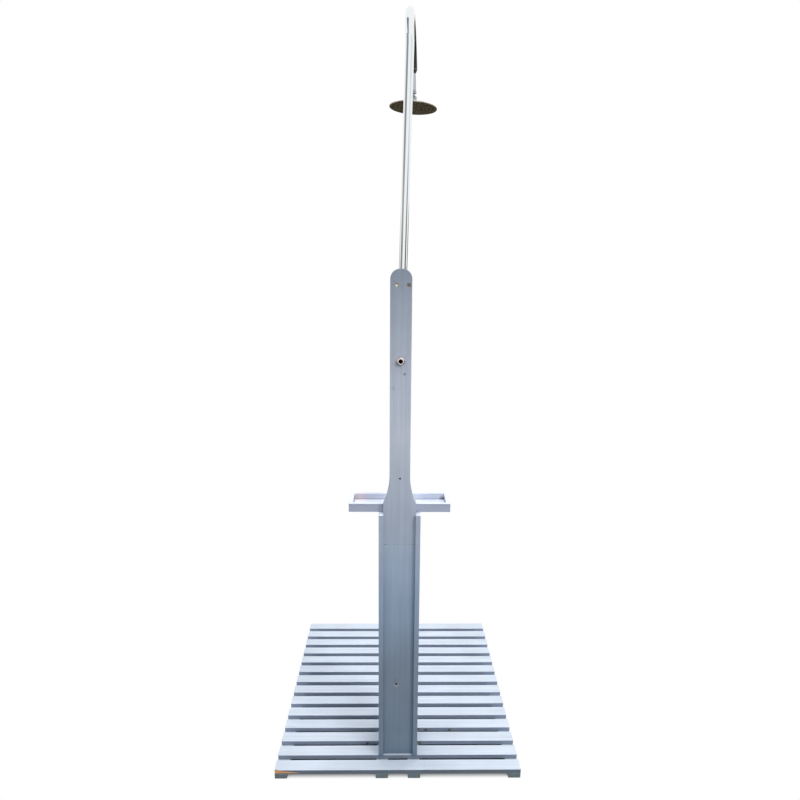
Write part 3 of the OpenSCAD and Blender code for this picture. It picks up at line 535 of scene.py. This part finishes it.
# Inlet: a stub of brass tube with a half-inch pipe thread, chrome-plated, which carries the feed.
# Its rear end stands out of the paddle, and the bore is stained by the water that ran in it.
thread_pitch = 1.814 * mm
thread_crest = 10.48 * mm
thread_depth = 1.0 * mm
nipple_bore = 7.0 * mm
thread_root = thread_crest - thread_depth
thread_lead = 0.6 * mm
thread_end = 0.4 * mm
thread_sides = 36
ridge_share = 0.42
ridge_crest = 0.1
ridge_sunk = 0.2 * mm
near_bore = 0.1 * mm
stub_collar = 12.9 * mm
stub_collar_length = 3.0 * mm


def standing(origin, up, across):
    """The place of a piece whose own Z axis points up and whose X axis points across."""
    across = (across - across.project(up)).normalized()
    turn = Matrix((across, up.cross(across), up)).transposed().to_4x4()
    return Matrix.Translation(origin) @ turn


def plated(name, tone, roughness, spots, stain=None, edge="#ffffff", scale=None):
    """Bright chrome or polished steel: a clear mirror with a faint haze of water spots that dulls
    it in places. spots is the size of a spot, stain a second tone that creeps over them, and edge
    the tone of a low, grazing look along it. scale is a place, a reach round it and a dark tone
    painted within that reach, a painted reflection of the dark ground."""
    material, tree, surface = blank_material(name)
    place = add(tree, "TexCoord", {})
    haze = add(tree, "TexNoise", {"Vector": place.outputs["Object"], "Scale": 60.0,
                                  "Detail": 4.0})
    specks = add(tree, "TexNoise", {"Vector": place.outputs["Object"], "Scale": 1 / spots,
                                    "Detail": 3.0})
    stained = add(tree, "MapRange", {"Value": specks.outputs["Fac"], "From Min": 0.4,
                                     "From Max": 0.65})
    colour = add(tree, "Mix", {0: stained.outputs[0], 6: linear(tone),
                               7: linear(stain or tone)}, data_type="RGBA")
    if scale:
        # Painted reflection: within the reach of the place the metal is painted dark, for the dark
        # ground it mirrors.
        reflection_centre, reflection_reach, reflection_tone = scale
        reach = add(tree, "VectorMath", {0: place.outputs["Object"], 1: reflection_centre},
                    operation="DISTANCE")
        ragged = add(tree, "Math", {0: haze.outputs["Fac"], 1: 0.2 * reflection_reach,
                                    2: reach.outputs["Value"]}, operation="MULTIPLY_ADD")
        painted_reflection = add(tree, "MapRange", {"Value": ragged.outputs[0], "From Min": reflection_reach,
                                       "From Max": 0.75 * reflection_reach})
        colour = add(tree, "Mix", {0: painted_reflection.outputs[0], 6: colour.outputs[2],
                                   7: linear(reflection_tone)}, data_type="RGBA")
    dull = add(tree, "MapRange", {"Value": haze.outputs["Fac"], "From Min": 0.35,
                                  "From Max": 0.75, "To Min": roughness,
                                  "To Max": roughness + 0.08})
    shader = add(tree, "BsdfPrincipled", {"Base Color": colour.outputs[2], "Metallic": 1.0,
                                          "Roughness": dull.outputs[0],
                                          "Specular Tint": linear(edge)})
    tree.links.new(shader.outputs[0], surface)
    return material


def smooth(piece, angle=40):
    """Shades a turned or cast piece smooth, with its creases and its flat faces kept crisp."""
    mesh = piece.data
    mesh.polygons.foreach_set("use_smooth", [True] * len(mesh.polygons))
    mesh.set_sharp_from_angle(angle=math.radians(angle))
    weighted = piece.modifiers.new("shading", "WEIGHTED_NORMAL")
    weighted.keep_sharp = True
    return piece


worn_chrome = plated("worn_chrome", "#fbf8f8", roughness=0.12, spots=4 * mm, stain="#e4cac5")
wet_bore = plated("wet_bore", "#c89a90", roughness=0.6, spots=2 * mm, stain="#7c4a45")
low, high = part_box("inlet_nipple")
middle = (low + high) / 2
inlet = standing(Vector((middle.x, low.y, middle.z)), Vector((0, 1, 0)), Vector((1, 0, 0)))
length = high.y - low.y
board_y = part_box("paddle")[0].y - low.y
collar_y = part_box("mounting_plate")[0].y - low.y
collar_end = collar_y + stub_collar_length
bm = bmesh.new()
turned(bm, [(nipple_bore, 0), (thread_root - thread_lead, 0), (thread_root, thread_lead),
            (thread_root, collar_y), (stub_collar, collar_y), (stub_collar, collar_end),
            (thread_root, collar_end), (thread_root, length), (nipple_bore, length)],
       Matrix.Identity(4))
for face in bm.faces:
    if math.hypot(*face.calc_center_median().xy) < nipple_bore + near_bore:
        face.material_index = 1


def cut_thread(bm, start, stop):
    """Adds the ridge of the pipe thread, a steep triangle wound round the core from start to
    stop."""
    old = set(bm.verts)
    half = ridge_share * thread_pitch
    crest = ridge_crest * half
    base = thread_root - ridge_sunk
    ridge = [bm.verts.new((radius, 0, start + half + rise)) for radius, rise in (
        (base, -half), (thread_crest, -crest), (thread_crest, crest), (base, half))]
    edges = [bm.edges.new(pair) for pair in zip(ridge, ridge[1:] + ridge[:1])]
    turns = (stop - start - 2 * half) / thread_pitch
    steps = round(thread_sides * turns)
    spun = bmesh.ops.spin(bm, geom=ridge + edges, cent=(0, 0, 0), axis=(0, 0, 1),
                          dvec=(0, 0, turns * thread_pitch / steps), angle=math.tau * turns,
                          steps=steps)
    bmesh.ops.contextual_create(bm, geom=edges)
    bmesh.ops.contextual_create(bm, geom=[g for g in spun["geom_last"]
                                          if isinstance(g, bmesh.types.BMEdge)])
    fresh = {f for v in bm.verts if v not in old for f in v.link_faces}
    bmesh.ops.recalc_face_normals(bm, faces=list(fresh))


cut_thread(bm, thread_lead, board_y)
cut_thread(bm, collar_end + thread_end, length - thread_end)
bmesh.ops.transform(bm, matrix=inlet, verts=bm.verts)
smooth(piece_from(bm, "inlet_stub", [worn_chrome, wet_bore], "root", "chrome_plate",
                  "inlet_nipple"))

# Mounting plate and valve: a chromed disc screwed to the front of the paddle takes the stub, and
# a cast brass valve body screws on to the stub. A ceramic cartridge under a bonnet nut shuts the
# water, turned by a spindle with a lever.
turned_ease = 0.3 * mm
cast_ease = 0.4 * mm
corner_angle = 35
shortest_corner = 2 * mm


def machined(node_name, ease, material, slot, body="root"):
    """A part cut or cast in metal just as its solid says, with its corners just broken."""
    bm = welded(node_name)
    round_over(bm, sharp_outlines(bm, corner_angle, shortest_corner), ease, segments=2)
    return smooth(piece_from(bm, node_name + "_metal", [material], body, slot, node_name))


chrome = plated("chrome_plate", "#dfe2e5", roughness=0.07, spots=1.2 * mm)
machined("mounting_plate", turned_ease, chrome, "chrome_plate")
machined("valve_body", cast_ease, chrome, "chrome_plate")
machined("bonnet_nut", turned_ease, chrome, "chrome_plate")
machined("handle", turned_ease, chrome, "chrome_plate", body="lever")
brass = plated("turned_brass", "#c7a35c", roughness=0.22, spots=2 * mm, stain="#b08a48")
frame["nodes"]["spindle"].data.materials[0] = brass
frame["nodes"]["cartridge"].data.materials[0] = wet_bore
frame["nodes"]["handle_screw"].data.materials[0] = zinc_plate

# Union nut and seal: the nut's lip pulls the bead of the riser down on to a rubber ring, and the
# riser can still be turned by hand.
machined("union_nut", turned_ease, chrome, "chrome_plate")


def moulded_rubber(name, tone, dusty):
    """Moulded rubber: dark and nearly matt, with a bloom of dust and lime in soft patches."""
    material, tree, surface = blank_material(name)
    place = add(tree, "TexCoord", {})
    bloom = add(tree, "TexNoise", {"Vector": place.outputs["Object"], "Scale": 180.0,
                                   "Detail": 3.0})
    colour = add(tree, "Mix", {0: bloom.outputs["Fac"], 6: linear(tone), 7: linear(dusty)},
                 data_type="RGBA")
    relief = add(tree, "Bump", {"Height": bloom.outputs["Fac"], "Strength": 0.1,
                                "Distance": 0.1 * mm})
    shader = add(tree, "BsdfPrincipled", {"Base Color": colour.outputs[2], "Roughness": 0.6,
                                          "Normal": relief.outputs[0]})
    tree.links.new(shader.outputs[0], surface)
    return material


seal_rubber = moulded_rubber("seal_rubber", "#1d1d1c", "#33322f")
frame["nodes"]["pipe_seal"].data.materials[0] = seal_rubber

# Clip: two chromed halves round the riser, pulled together by two bolts that come through the
# paddle from behind, with nuts in front. The bolts are zinc-plated and passivated yellow. The left
# one's head has a painted highlight low down, and the right one's is painted darker.
clip_ease = 0.5 * mm
nut_corner = 0.2 * mm
bolt_ease = 0.3 * mm
machined("clip_base", clip_ease, chrome, "chrome_plate")
machined("clip_cap", clip_ease, chrome, "chrome_plate")
machined("clip_nuts", nut_corner, chrome, "chrome_plate")
bolt_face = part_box("clip_bolts")[0].y
# Painted highlight on the left bolt's head, and a darker patch on the right one's.
bolt_highlight_and_dark_spot = [((left_bolt, bolt_face, lip_z + 3 * mm), 6 * mm, "#fffef0"),
              ((right_bolt, bolt_face, lip_z + recess_radius), 9 * mm, "#938a7c")]
yellow_zinc = plated_steel("yellow_zinc", "#d8cf94", "#aca265", roughness=0.45, marks=bolt_highlight_and_dark_spot)
machined("clip_bolts", bolt_ease, yellow_zinc, "yellow_zinc")

# The bolts' recesses were drilled after the paddle was stained, so they show bare wood.
near_recess = 0.1 * mm
fresh_cut = raw_softwood("fresh_cut", "Z", "#f0e6c0", "#d9c78f")
paddle.data.materials.append(fresh_cut)
bolts = [sum(points, Vector()) / len(points) for points in separate_solids("clip_bolts")]
for face in paddle.data.polygons:
    near = min(math.hypot(face.center.x - bolt.x, face.center.z - bolt.z) for bolt in bolts)
    if near < recess_radius + near_recess:
        face.material_index = 1

# Riser: a stainless steel tube, mirror polished, rolled to a bead near its foot, set over a little
# and then bent into a gooseneck. It leans to the right, as it was left. The outlet half of the
# gooseneck is painted dark, a painted reflection of the dark ground, and its radius is a hair
# small to stay in the CAD box.
pipe_radius = 12.5 * mm
pipe_wall = 1.2 * mm
pipe_foot = 22.1 * mm
bead_height = 2.2 * mm
bead_out = 1.4 * mm
bead_foot = 34.1 * mm
straight = 850 * mm
set_bend = math.radians(3)
set_radius = 150 * mm
goose_radius = 111.95 * mm
goose_sweep = math.radians(173.5)
outlet_top = 78 * mm
riser_reflection_reach = 186 * mm
pipe_sides = 56
set_steps = 4
goose_steps = 80


def joint(name):
    """The place and the axis of a CAD joint."""
    row = next(j for j in frame["joints"] if j["name"] == name)
    return Vector(row["pos_m"]), Vector(row["axis"]).normalized()


polished = plated("polished_steel", "#eef2f4", roughness=0.05, spots=1.5 * mm)
riser_foot, riser_axis = joint("riser_swivel")
ball, outlet_axis = joint("head_swivel")
across = joint("head_tilt")[1]
outlet_place = standing(ball, outlet_axis, across)
goose_forward = Matrix.Rotation(goose_sweep - math.pi, 3, across) @ outlet_axis.cross(across)
weld = ball + outlet_top * outlet_axis
# Painted reflection: the outlet half of the gooseneck is painted dark.
dark_reflection_steel = plated("dark_reflection_steel", "#eef2f4", roughness=0.05, spots=1.5 * mm,
                      scale=(weld, riser_reflection_reach, "#3e3d3a"))
riser_place = standing(riser_foot, riser_axis, goose_forward.cross(riser_axis))
bm = bmesh.new()
rings = []
for radius in (pipe_radius, pipe_radius - pipe_wall):
    made = bmesh.ops.create_circle(bm, segments=pipe_sides, radius=radius,
                                   matrix=Matrix.Translation((0, 0, pipe_foot)))
    rings += list({e for v in made["verts"] for e in v.link_edges})
grown = bmesh.ops.extrude_edge_only(bm, edges=rings)["geom"]
top = [g for g in grown if isinstance(g, bmesh.types.BMVert)]
bmesh.ops.translate(bm, vec=(0, 0, straight - pipe_foot), verts=top)
top += [g for g in grown if isinstance(g, bmesh.types.BMEdge) and all(v in top for v in g.verts)]
set_over = bmesh.ops.spin(bm, geom=top, cent=(-set_radius, 0, straight), axis=(0, -1, 0),
                          angle=set_bend, steps=set_steps)["geom_last"]
goose_foot = (Matrix.Translation((-set_radius, 0, straight)) @ Matrix.Rotation(-set_bend, 4, "Y")
              @ Matrix.Translation((set_radius, 0, 0)))
spun = bmesh.ops.spin(bm, geom=set_over, cent=goose_foot @ Vector((0, goose_radius, 0)),
                      axis=goose_foot.to_3x3() @ Vector((-1, 0, 0)), angle=goose_sweep,
                      steps=goose_steps)
last = [g for g in spun["geom_last"] if isinstance(g, bmesh.types.BMEdge)]
bmesh.ops.bridge_loops(bm, edges=rings)
bmesh.ops.bridge_loops(bm, edges=last)
bmesh.ops.recalc_face_normals(bm, faces=bm.faces)
bead_root, bead_crest = pipe_radius - pipe_wall / 2, pipe_radius + bead_out
bead_top = bead_foot + bead_height
turned(bm, [(bead_root, bead_foot), (bead_crest, bead_foot), (bead_crest, bead_top),
            (bead_root, bead_top)], Matrix.Identity(4), steps=pipe_sides)
bmesh.ops.transform(bm, matrix=riser_place, verts=bm.verts)
smooth(piece_from(bm, "riser_tube", [dark_reflection_steel], "riser", "polished_steel", "riser_pipe"))

# Outlet: a turned reducer welded to the end of the gooseneck, and a thin nipple below it that
# screws into the collar of the ball joint.
reducer_height = 11.5 * mm
reducer_lip = 2 * mm
nipple_radius = 7.25 * mm
nipple_wall = 2 * mm
nipple_step = 0.8 * mm
nipple_foot = 14 * mm
outlet_reflection_reach = 16 * mm
reducer_foot = outlet_top - reducer_height
lip_foot = outlet_top - reducer_lip
tube_bore = pipe_radius - pipe_wall
shoulder = nipple_radius + nipple_step
nipple_inside = nipple_radius - nipple_wall
bm = bmesh.new()
turned(bm, [(tube_bore, outlet_top), (pipe_radius, outlet_top), (pipe_radius, lip_foot),
            (shoulder, reducer_foot + nipple_step), (shoulder, reducer_foot),
            (nipple_radius, reducer_foot), (nipple_radius, nipple_foot),
            (nipple_inside, nipple_foot), (nipple_inside, reducer_foot), (tube_bore, lip_foot)],
       outlet_place)
# Painted reflection: the reducer is painted dark round the weld, for the ground its cone mirrors.
fitting = plated("fitting_steel", "#c2c5c8", roughness=0.10, spots=1.2 * mm, edge="#3a3a3c",
                 scale=(weld, outlet_reflection_reach, "#5c584d"))
smooth(piece_from(bm, "outlet_tube", [fitting], "riser", "polished_steel", "outlet_nipple"))

# Ball joint: collar, stem and ball turned in one piece of chromed brass, and a ring nut that traps
# the ball on the head's spigot. Collar and nut have deep slanting flutes for the fingers.
collar_radius = 8.5 * mm
collar_top = 19 * mm
collar_foot = 11 * mm
collar_ease = 0.9 * mm
collar_socket = 7.3 * mm
collar_bite = 5 * mm
stem_radius = 3.5 * mm
water_radius = 2.2 * mm
ball_radius = 7 * mm
nut_radius = 9.2 * mm
nut_ease = 0.8 * mm
nut_foot = 5.5 * mm
nut_top = 3.4 * mm
nut_bore = 7.65 * mm
nut_seat = 6.25 * mm
ball_fit = 7.1 * mm
ball_steps = 14
flutes = 14
flute_depth = 1.5 * mm
flute_slant = math.radians(16)
near_crest = 0.1 * mm
fluted_angle = 30
head_roll = math.radians(5.5)
head_pitch = math.radians(3.5)


def flute(bm, radius, middle):
    """Cuts slanting flutes round the widest part of a turned piece."""
    for vert in bm.verts:
        reach = math.hypot(vert.co.x, vert.co.y)
        if reach > radius - near_crest:
            turn = math.atan2(vert.co.y, vert.co.x) * flutes
            groove = max(0.0, math.cos(turn)) * flute_depth
            vert.co.xy *= (reach - groove) / reach
            slant = flute_slant * (vert.co.z - middle) / nut_foot
            vert.co = Matrix.Rotation(slant, 3, "Z") @ vert.co


low_end = math.asin(water_radius / ball_radius)
high_end = math.pi - math.asin(stem_radius / ball_radius)
bends = [low_end + (high_end - low_end) * i / ball_steps for i in range(ball_steps + 1)]
collar_middle = (collar_foot + collar_top) / 2
bm = bmesh.new()
turned(bm, [(ball_radius * math.sin(a), -ball_radius * math.cos(a)) for a in bends]
       + [(stem_radius, collar_foot), (collar_radius - collar_ease, collar_foot),
          (collar_radius, collar_foot + collar_ease), (collar_radius, collar_middle),
          (collar_radius, collar_top - collar_ease), (collar_radius - collar_ease, collar_top),
          (collar_socket, collar_top), (collar_socket, collar_top - collar_bite),
          (water_radius, collar_top - collar_bite)], Matrix.Identity(4), steps=4 * flutes)
flute(bm, collar_radius, collar_middle)
bmesh.ops.transform(bm, matrix=outlet_place, verts=bm.verts)
smooth(piece_from(bm, "fluted_collar", [fitting], "joint_ball", "polished_steel", "ball_stem"),
       fluted_angle)
head_place = (outlet_place @ Matrix.Rotation(head_roll, 4, "Y")
              @ Matrix.Rotation(-head_pitch, 4, "X"))
bm = bmesh.new()
turned(bm, [(nut_bore, -nut_foot), (nut_radius - nut_ease, -nut_foot),
            (nut_radius, nut_ease - nut_foot), (nut_radius, (nut_top - nut_foot) / 2),
            (nut_radius, nut_top - nut_ease), (nut_radius - nut_ease, nut_top),
            (nut_seat, nut_top), (ball_fit, 0), (nut_bore, 0)], Matrix.Identity(4),
       steps=4 * flutes)
flute(bm, nut_radius, 0.0)
bmesh.ops.transform(bm, matrix=head_place, verts=bm.verts)
smooth(piece_from(bm, "fluted_nut", [fitting], "rain_head", "polished_steel", "ball_nut"),
       fluted_angle)

# Rain head: a thin pressed shell of stainless steel with a shallow dome and a rolled rim, closed
# below by a plate with rings of soft nozzles. Rim and plate are tarnished, and the nozzles are
# crusted with lime and dust.
head_radius = 75 * mm
head_wall = 1.2 * mm
rim_height = 4 * mm
dome_height = 11 * mm
dome_top = 15.4 * mm
neck_radius = 9.5 * mm
spigot_radius = 7.6 * mm
spigot_top = 6.2 * mm
rim_gap = 0.2 * mm
face_depth = dome_top + dome_height + rim_height
dome_steps = 20
rim_steps = 5
head_sides = 128
tarnish_top = 0.9 * rim_height - face_depth


def dome(share):
    """A point of the dome's outer face, from its neck at 0 to its rim at 1."""
    return (neck_radius + (head_radius - neck_radius) * share,
            -dome_top - dome_height * share ** 2)


outer = [dome(i / dome_steps) for i in range(dome_steps)]
rim = [(head_radius - rim_height / 2 * (1 - math.sin(a)),
        -face_depth + rim_height / 2 * (1 + math.cos(a)))
       for a in (math.pi * i / rim_steps for i in range(rim_steps + 1))]
inner = [(radius, height - head_wall) for radius, height in outer[::-1]]
bm = bmesh.new()
turned(bm, [(water_radius, -spigot_top), (spigot_radius, -spigot_top), (spigot_radius, -dome_top)]
       + outer + rim + [(head_radius - head_wall, rim_gap - face_depth),
                        (head_radius - head_wall, rim_height - face_depth)]
       + inner + [(water_radius, -dome_top - head_wall)], head_place, steps=head_sides)
face_steel = plated("face_steel", "#d6d0c2", roughness=0.30, spots=3.5 * mm, stain="#8f897c",
                    edge="#9a9484")
pressing = smooth(piece_from(bm, "head_pressing", [polished, face_steel], "rain_head",
                            "polished_steel", "head_shell"))
for face in pressing.data.polygons:
    if (head_place.inverted() @ face.center).z < tarnish_top:
        face.material_index = 1
frame["nodes"]["nozzle_plate"].data.materials[0] = face_steel
nozzle_rubber = moulded_rubber("nozzle_rubber", "#1f1b13", "#6a6250")
frame["nodes"]["nozzle_mat"].data.materials[0] = nozzle_rubber

# Stage: a pale floor without an edge, which bounces a mild light up on to the object and still
# shows white. The shade on it is dark under the slats and faint outside the deck.
floor_size = 40.0
floor_grey = 0.35
shade_reach = 0.10
deck_half = cad_box[1][0]
deck_margin = 0.025


def looked_at(tree):
    """1 on a ray from the camera, from a mirror or through glass, and 0 on one that only lights."""
    rays = add(tree, "LightPath", {})
    seen = add(tree, "Math", {0: rays.outputs["Is Camera Ray"], 1: rays.outputs["Is Glossy Ray"]},
               operation="MAXIMUM")
    return add(tree, "Math", {0: seen.outputs[0], 1: rays.outputs["Is Transmission Ray"]},
               operation="MAXIMUM").outputs[0]


floor_paint, tree, surface = blank_material("floor_paint")
bounce = add(tree, "BsdfDiffuse", {"Color": [floor_grey] * 3 + [1.0]})
nearby = add(tree, "AmbientOcclusion", {"Distance": shade_reach}, samples=12)
dark = add(tree, "ValToRGB", {"Fac": nearby.outputs["AO"]},
           stops=[(0.34, "#0a111d"), (0.50, "#8d929b"), (0.8, "#ffffff")])
faint = add(tree, "ValToRGB", {"Fac": nearby.outputs["AO"]},
            stops=[(0.0, "#b4b7bb"), (0.25, "#f4f5f6"), (0.5, "#ffffff")])
place = add(tree, "TexCoord", {})
where = add(tree, "SeparateXYZ", {"Vector": place.outputs["Object"]})
sideways = add(tree, "Math", {0: where.outputs["X"]}, operation="ABSOLUTE")
lengthways = add(tree, "Math", {0: where.outputs["Y"]}, operation="ABSOLUTE")
reach = add(tree, "Math", {0: sideways.outputs[0], 1: lengthways.outputs[0]}, operation="MAXIMUM")
outside = add(tree, "MapRange", {"Value": reach.outputs[0], "From Min": deck_half - deck_margin,
                                 "From Max": deck_half})
shade = add(tree, "Mix", {0: outside.outputs[0], 6: dark.outputs["Color"],
                          7: faint.outputs["Color"]}, data_type="RGBA")
shown = add(tree, "Emission", {"Color": shade.outputs[2]})
split = add(tree, "MixShader", {0: looked_at(tree), 1: bounce.outputs[0], 2: shown.outputs[0]})
tree.links.new(split.outputs[0], surface)
bm = bmesh.new()
bmesh.ops.create_grid(bm, x_segments=1, y_segments=1, size=floor_size / 2)
object_from(bm, "pale_floor", [floor_paint])

# Flags: cards that only the metal sees, so that the polished tubes show their long grey streaks.
# Five stand round the post, one lies on the ground under it and one hangs overhead.
flag_top = 4.0
flag_reach = 3.0


def flag(name, corner, along, up, tones):
    """A card that is only seen in reflections. It starts at a corner and reaches along and up, and
    tones are pairs of a height in metres and a colour."""
    bm = bmesh.new()
    bmesh.ops.create_grid(bm, x_segments=1, y_segments=1, size=0.5)
    bmesh.ops.translate(bm, vec=(0.5, 0.5, 0), verts=bm.verts)
    for vert in bm.verts:
        vert.co = Vector(corner) + vert.co.x * Vector(along) + vert.co.y * Vector(up)
    cloth, tree, surface = blank_material(name + "_cloth")
    place = add(tree, "TexCoord", {})
    where = add(tree, "SeparateXYZ", {"Vector": place.outputs["Object"]})
    share = add(tree, "MapRange", {"Value": where.outputs["Z"], "From Max": flag_top})
    tone = add(tree, "ValToRGB", {"Fac": share.outputs[0]},
               stops=[(height / flag_top, colour) for height, colour in tones])
    glow = add(tree, "Emission", {"Color": tone.outputs["Color"]})
    tree.links.new(glow.outputs[0], surface)
    card = object_from(bm, name, [cloth])
    card.visible_camera = False
    card.visible_diffuse = False
    card.visible_transmission = False
    card.visible_shadow = False


def upright_flag(name, first, last, height, tones):
    """A flag that stands on the ground, flag_reach away from the riser, between two bearings in
    degrees from straight ahead, with the right side positive."""
    start, stop = [riser_foot.xy + flag_reach * Vector((math.sin(turn), math.cos(turn)))
                   for turn in (math.radians(first), math.radians(last))]
    flag(name, (*start, 0), (*(stop - start), 0), (0, 0, height), tones)


upright_flag("left_flag", -151, -96, 4.0,
             [(1.7, "#8f8e8a"), (1.95, "#97938d"), (2.2, "#b3afa8"), (2.6, "#9c9b9a"),
              (3.2, "#96999c")])
upright_flag("right_flag", 145, 113, 4.0,
             [(1.7, "#3c3c40"), (1.95, "#66696b"), (2.3, "#9ca1a4"), (2.6, "#d5dadc"),
              (2.8, "#e2e8ea")])
upright_flag("left_back_flag", -62, -16, 2.2,
             [(1.5, "#777674"), (1.7, "#a0a0a0"), (1.95, "#c4c4c4"), (2.2, "#e8e8e8")])
upright_flag("right_back_flag", 76, 34, 2.2,
             [(1.5, "#8c8b8b"), (1.85, "#8c8c8e"), (2.0, "#939496"), (2.2, "#e0e2e2")])
upright_flag("right_low_flag", 113, 76, 1.7, [(1.4, "#77777a"), (1.7, "#e4e4e4")])
flag("ground_flag", (-12, -5, 0.002), (32, 0, 0), (0, 19, 0), [(0.0, "#4c4a3e")])
flag("overhead_flag", (-1.9, -4.08, 4.9), (-1.5, 1.3, 0), (1.35, 3.3, 0), [(4.0, "#7e8086")])

# Light: a soft blue sky all round, which the camera and the metal see as plain white, one wide soft
# lamp overhead and a smaller one to the upper right.
sky_strength = 0.55
world = bpy.data.worlds.new("studio")
bpy.context.scene.world = world
world.use_nodes = True
tree = world.node_tree
backdrop = tree.nodes["Background"]
sky = add(tree, "Background", {"Color": linear("#e3eaf6"), "Strength": sky_strength})
backdrop.inputs["Color"].default_value = (1, 1, 1, 1)
split = add(tree, "MixShader", {0: looked_at(tree), 1: sky.outputs[0], 2: backdrop.outputs[0]})
tree.links.new(split.outputs[0], tree.nodes["World Output"].inputs["Surface"])


def soft_lamp(name, place, size, watts, target):
    """A square lamp that faces a point."""
    lamp = bpy.data.lights.new(name, "AREA")
    lamp.shape = "SQUARE"
    lamp.size = size
    lamp.energy = watts
    holder = bpy.data.objects.new(name, lamp)
    holder.location = place
    holder.rotation_euler = (Vector(target) - Vector(place)).to_track_quat("-Z", "Y").to_euler()
    holder.visible_glossy = False
    bpy.context.scene.collection.objects.link(holder)


soft_lamp("overhead", (0.0, 0.2, 4.4), 3.0, 130, (0.0, 0.0, 0.0))
soft_lamp("upper_right", (2.4, -2.8, 3.4), 1.2, 60, (0.0, -0.2, 1.2))

# Camera: a wide phone lens, level with the paddle and tipped down, as the photograph was taken.
sensor = 36
picture_width = 800
focal_pixels = 545
camera_place = (-0.0219, -1.9054, 1.5491)
camera_turn = math.radians(-0.751)
camera_tip = math.radians(11.05)
camera_roll = math.radians(0.417)
camera = bpy.data.cameras.new("camera")
camera.sensor_width = sensor
camera.lens = sensor * focal_pixels / picture_width
viewer = bpy.data.objects.new("camera", camera)
viewer.matrix_world = (Matrix.Translation(camera_place) @ Matrix.Rotation(camera_turn, 4, "Z")
                       @ Matrix.Rotation(math.pi / 2 - camera_tip, 4, "X")
                       @ Matrix.Rotation(camera_roll, 4, "Z"))
bpy.context.scene.collection.objects.link(viewer)
bpy.context.scene.camera = viewer
bpy.context.scene.view_settings.view_transform = "Standard"
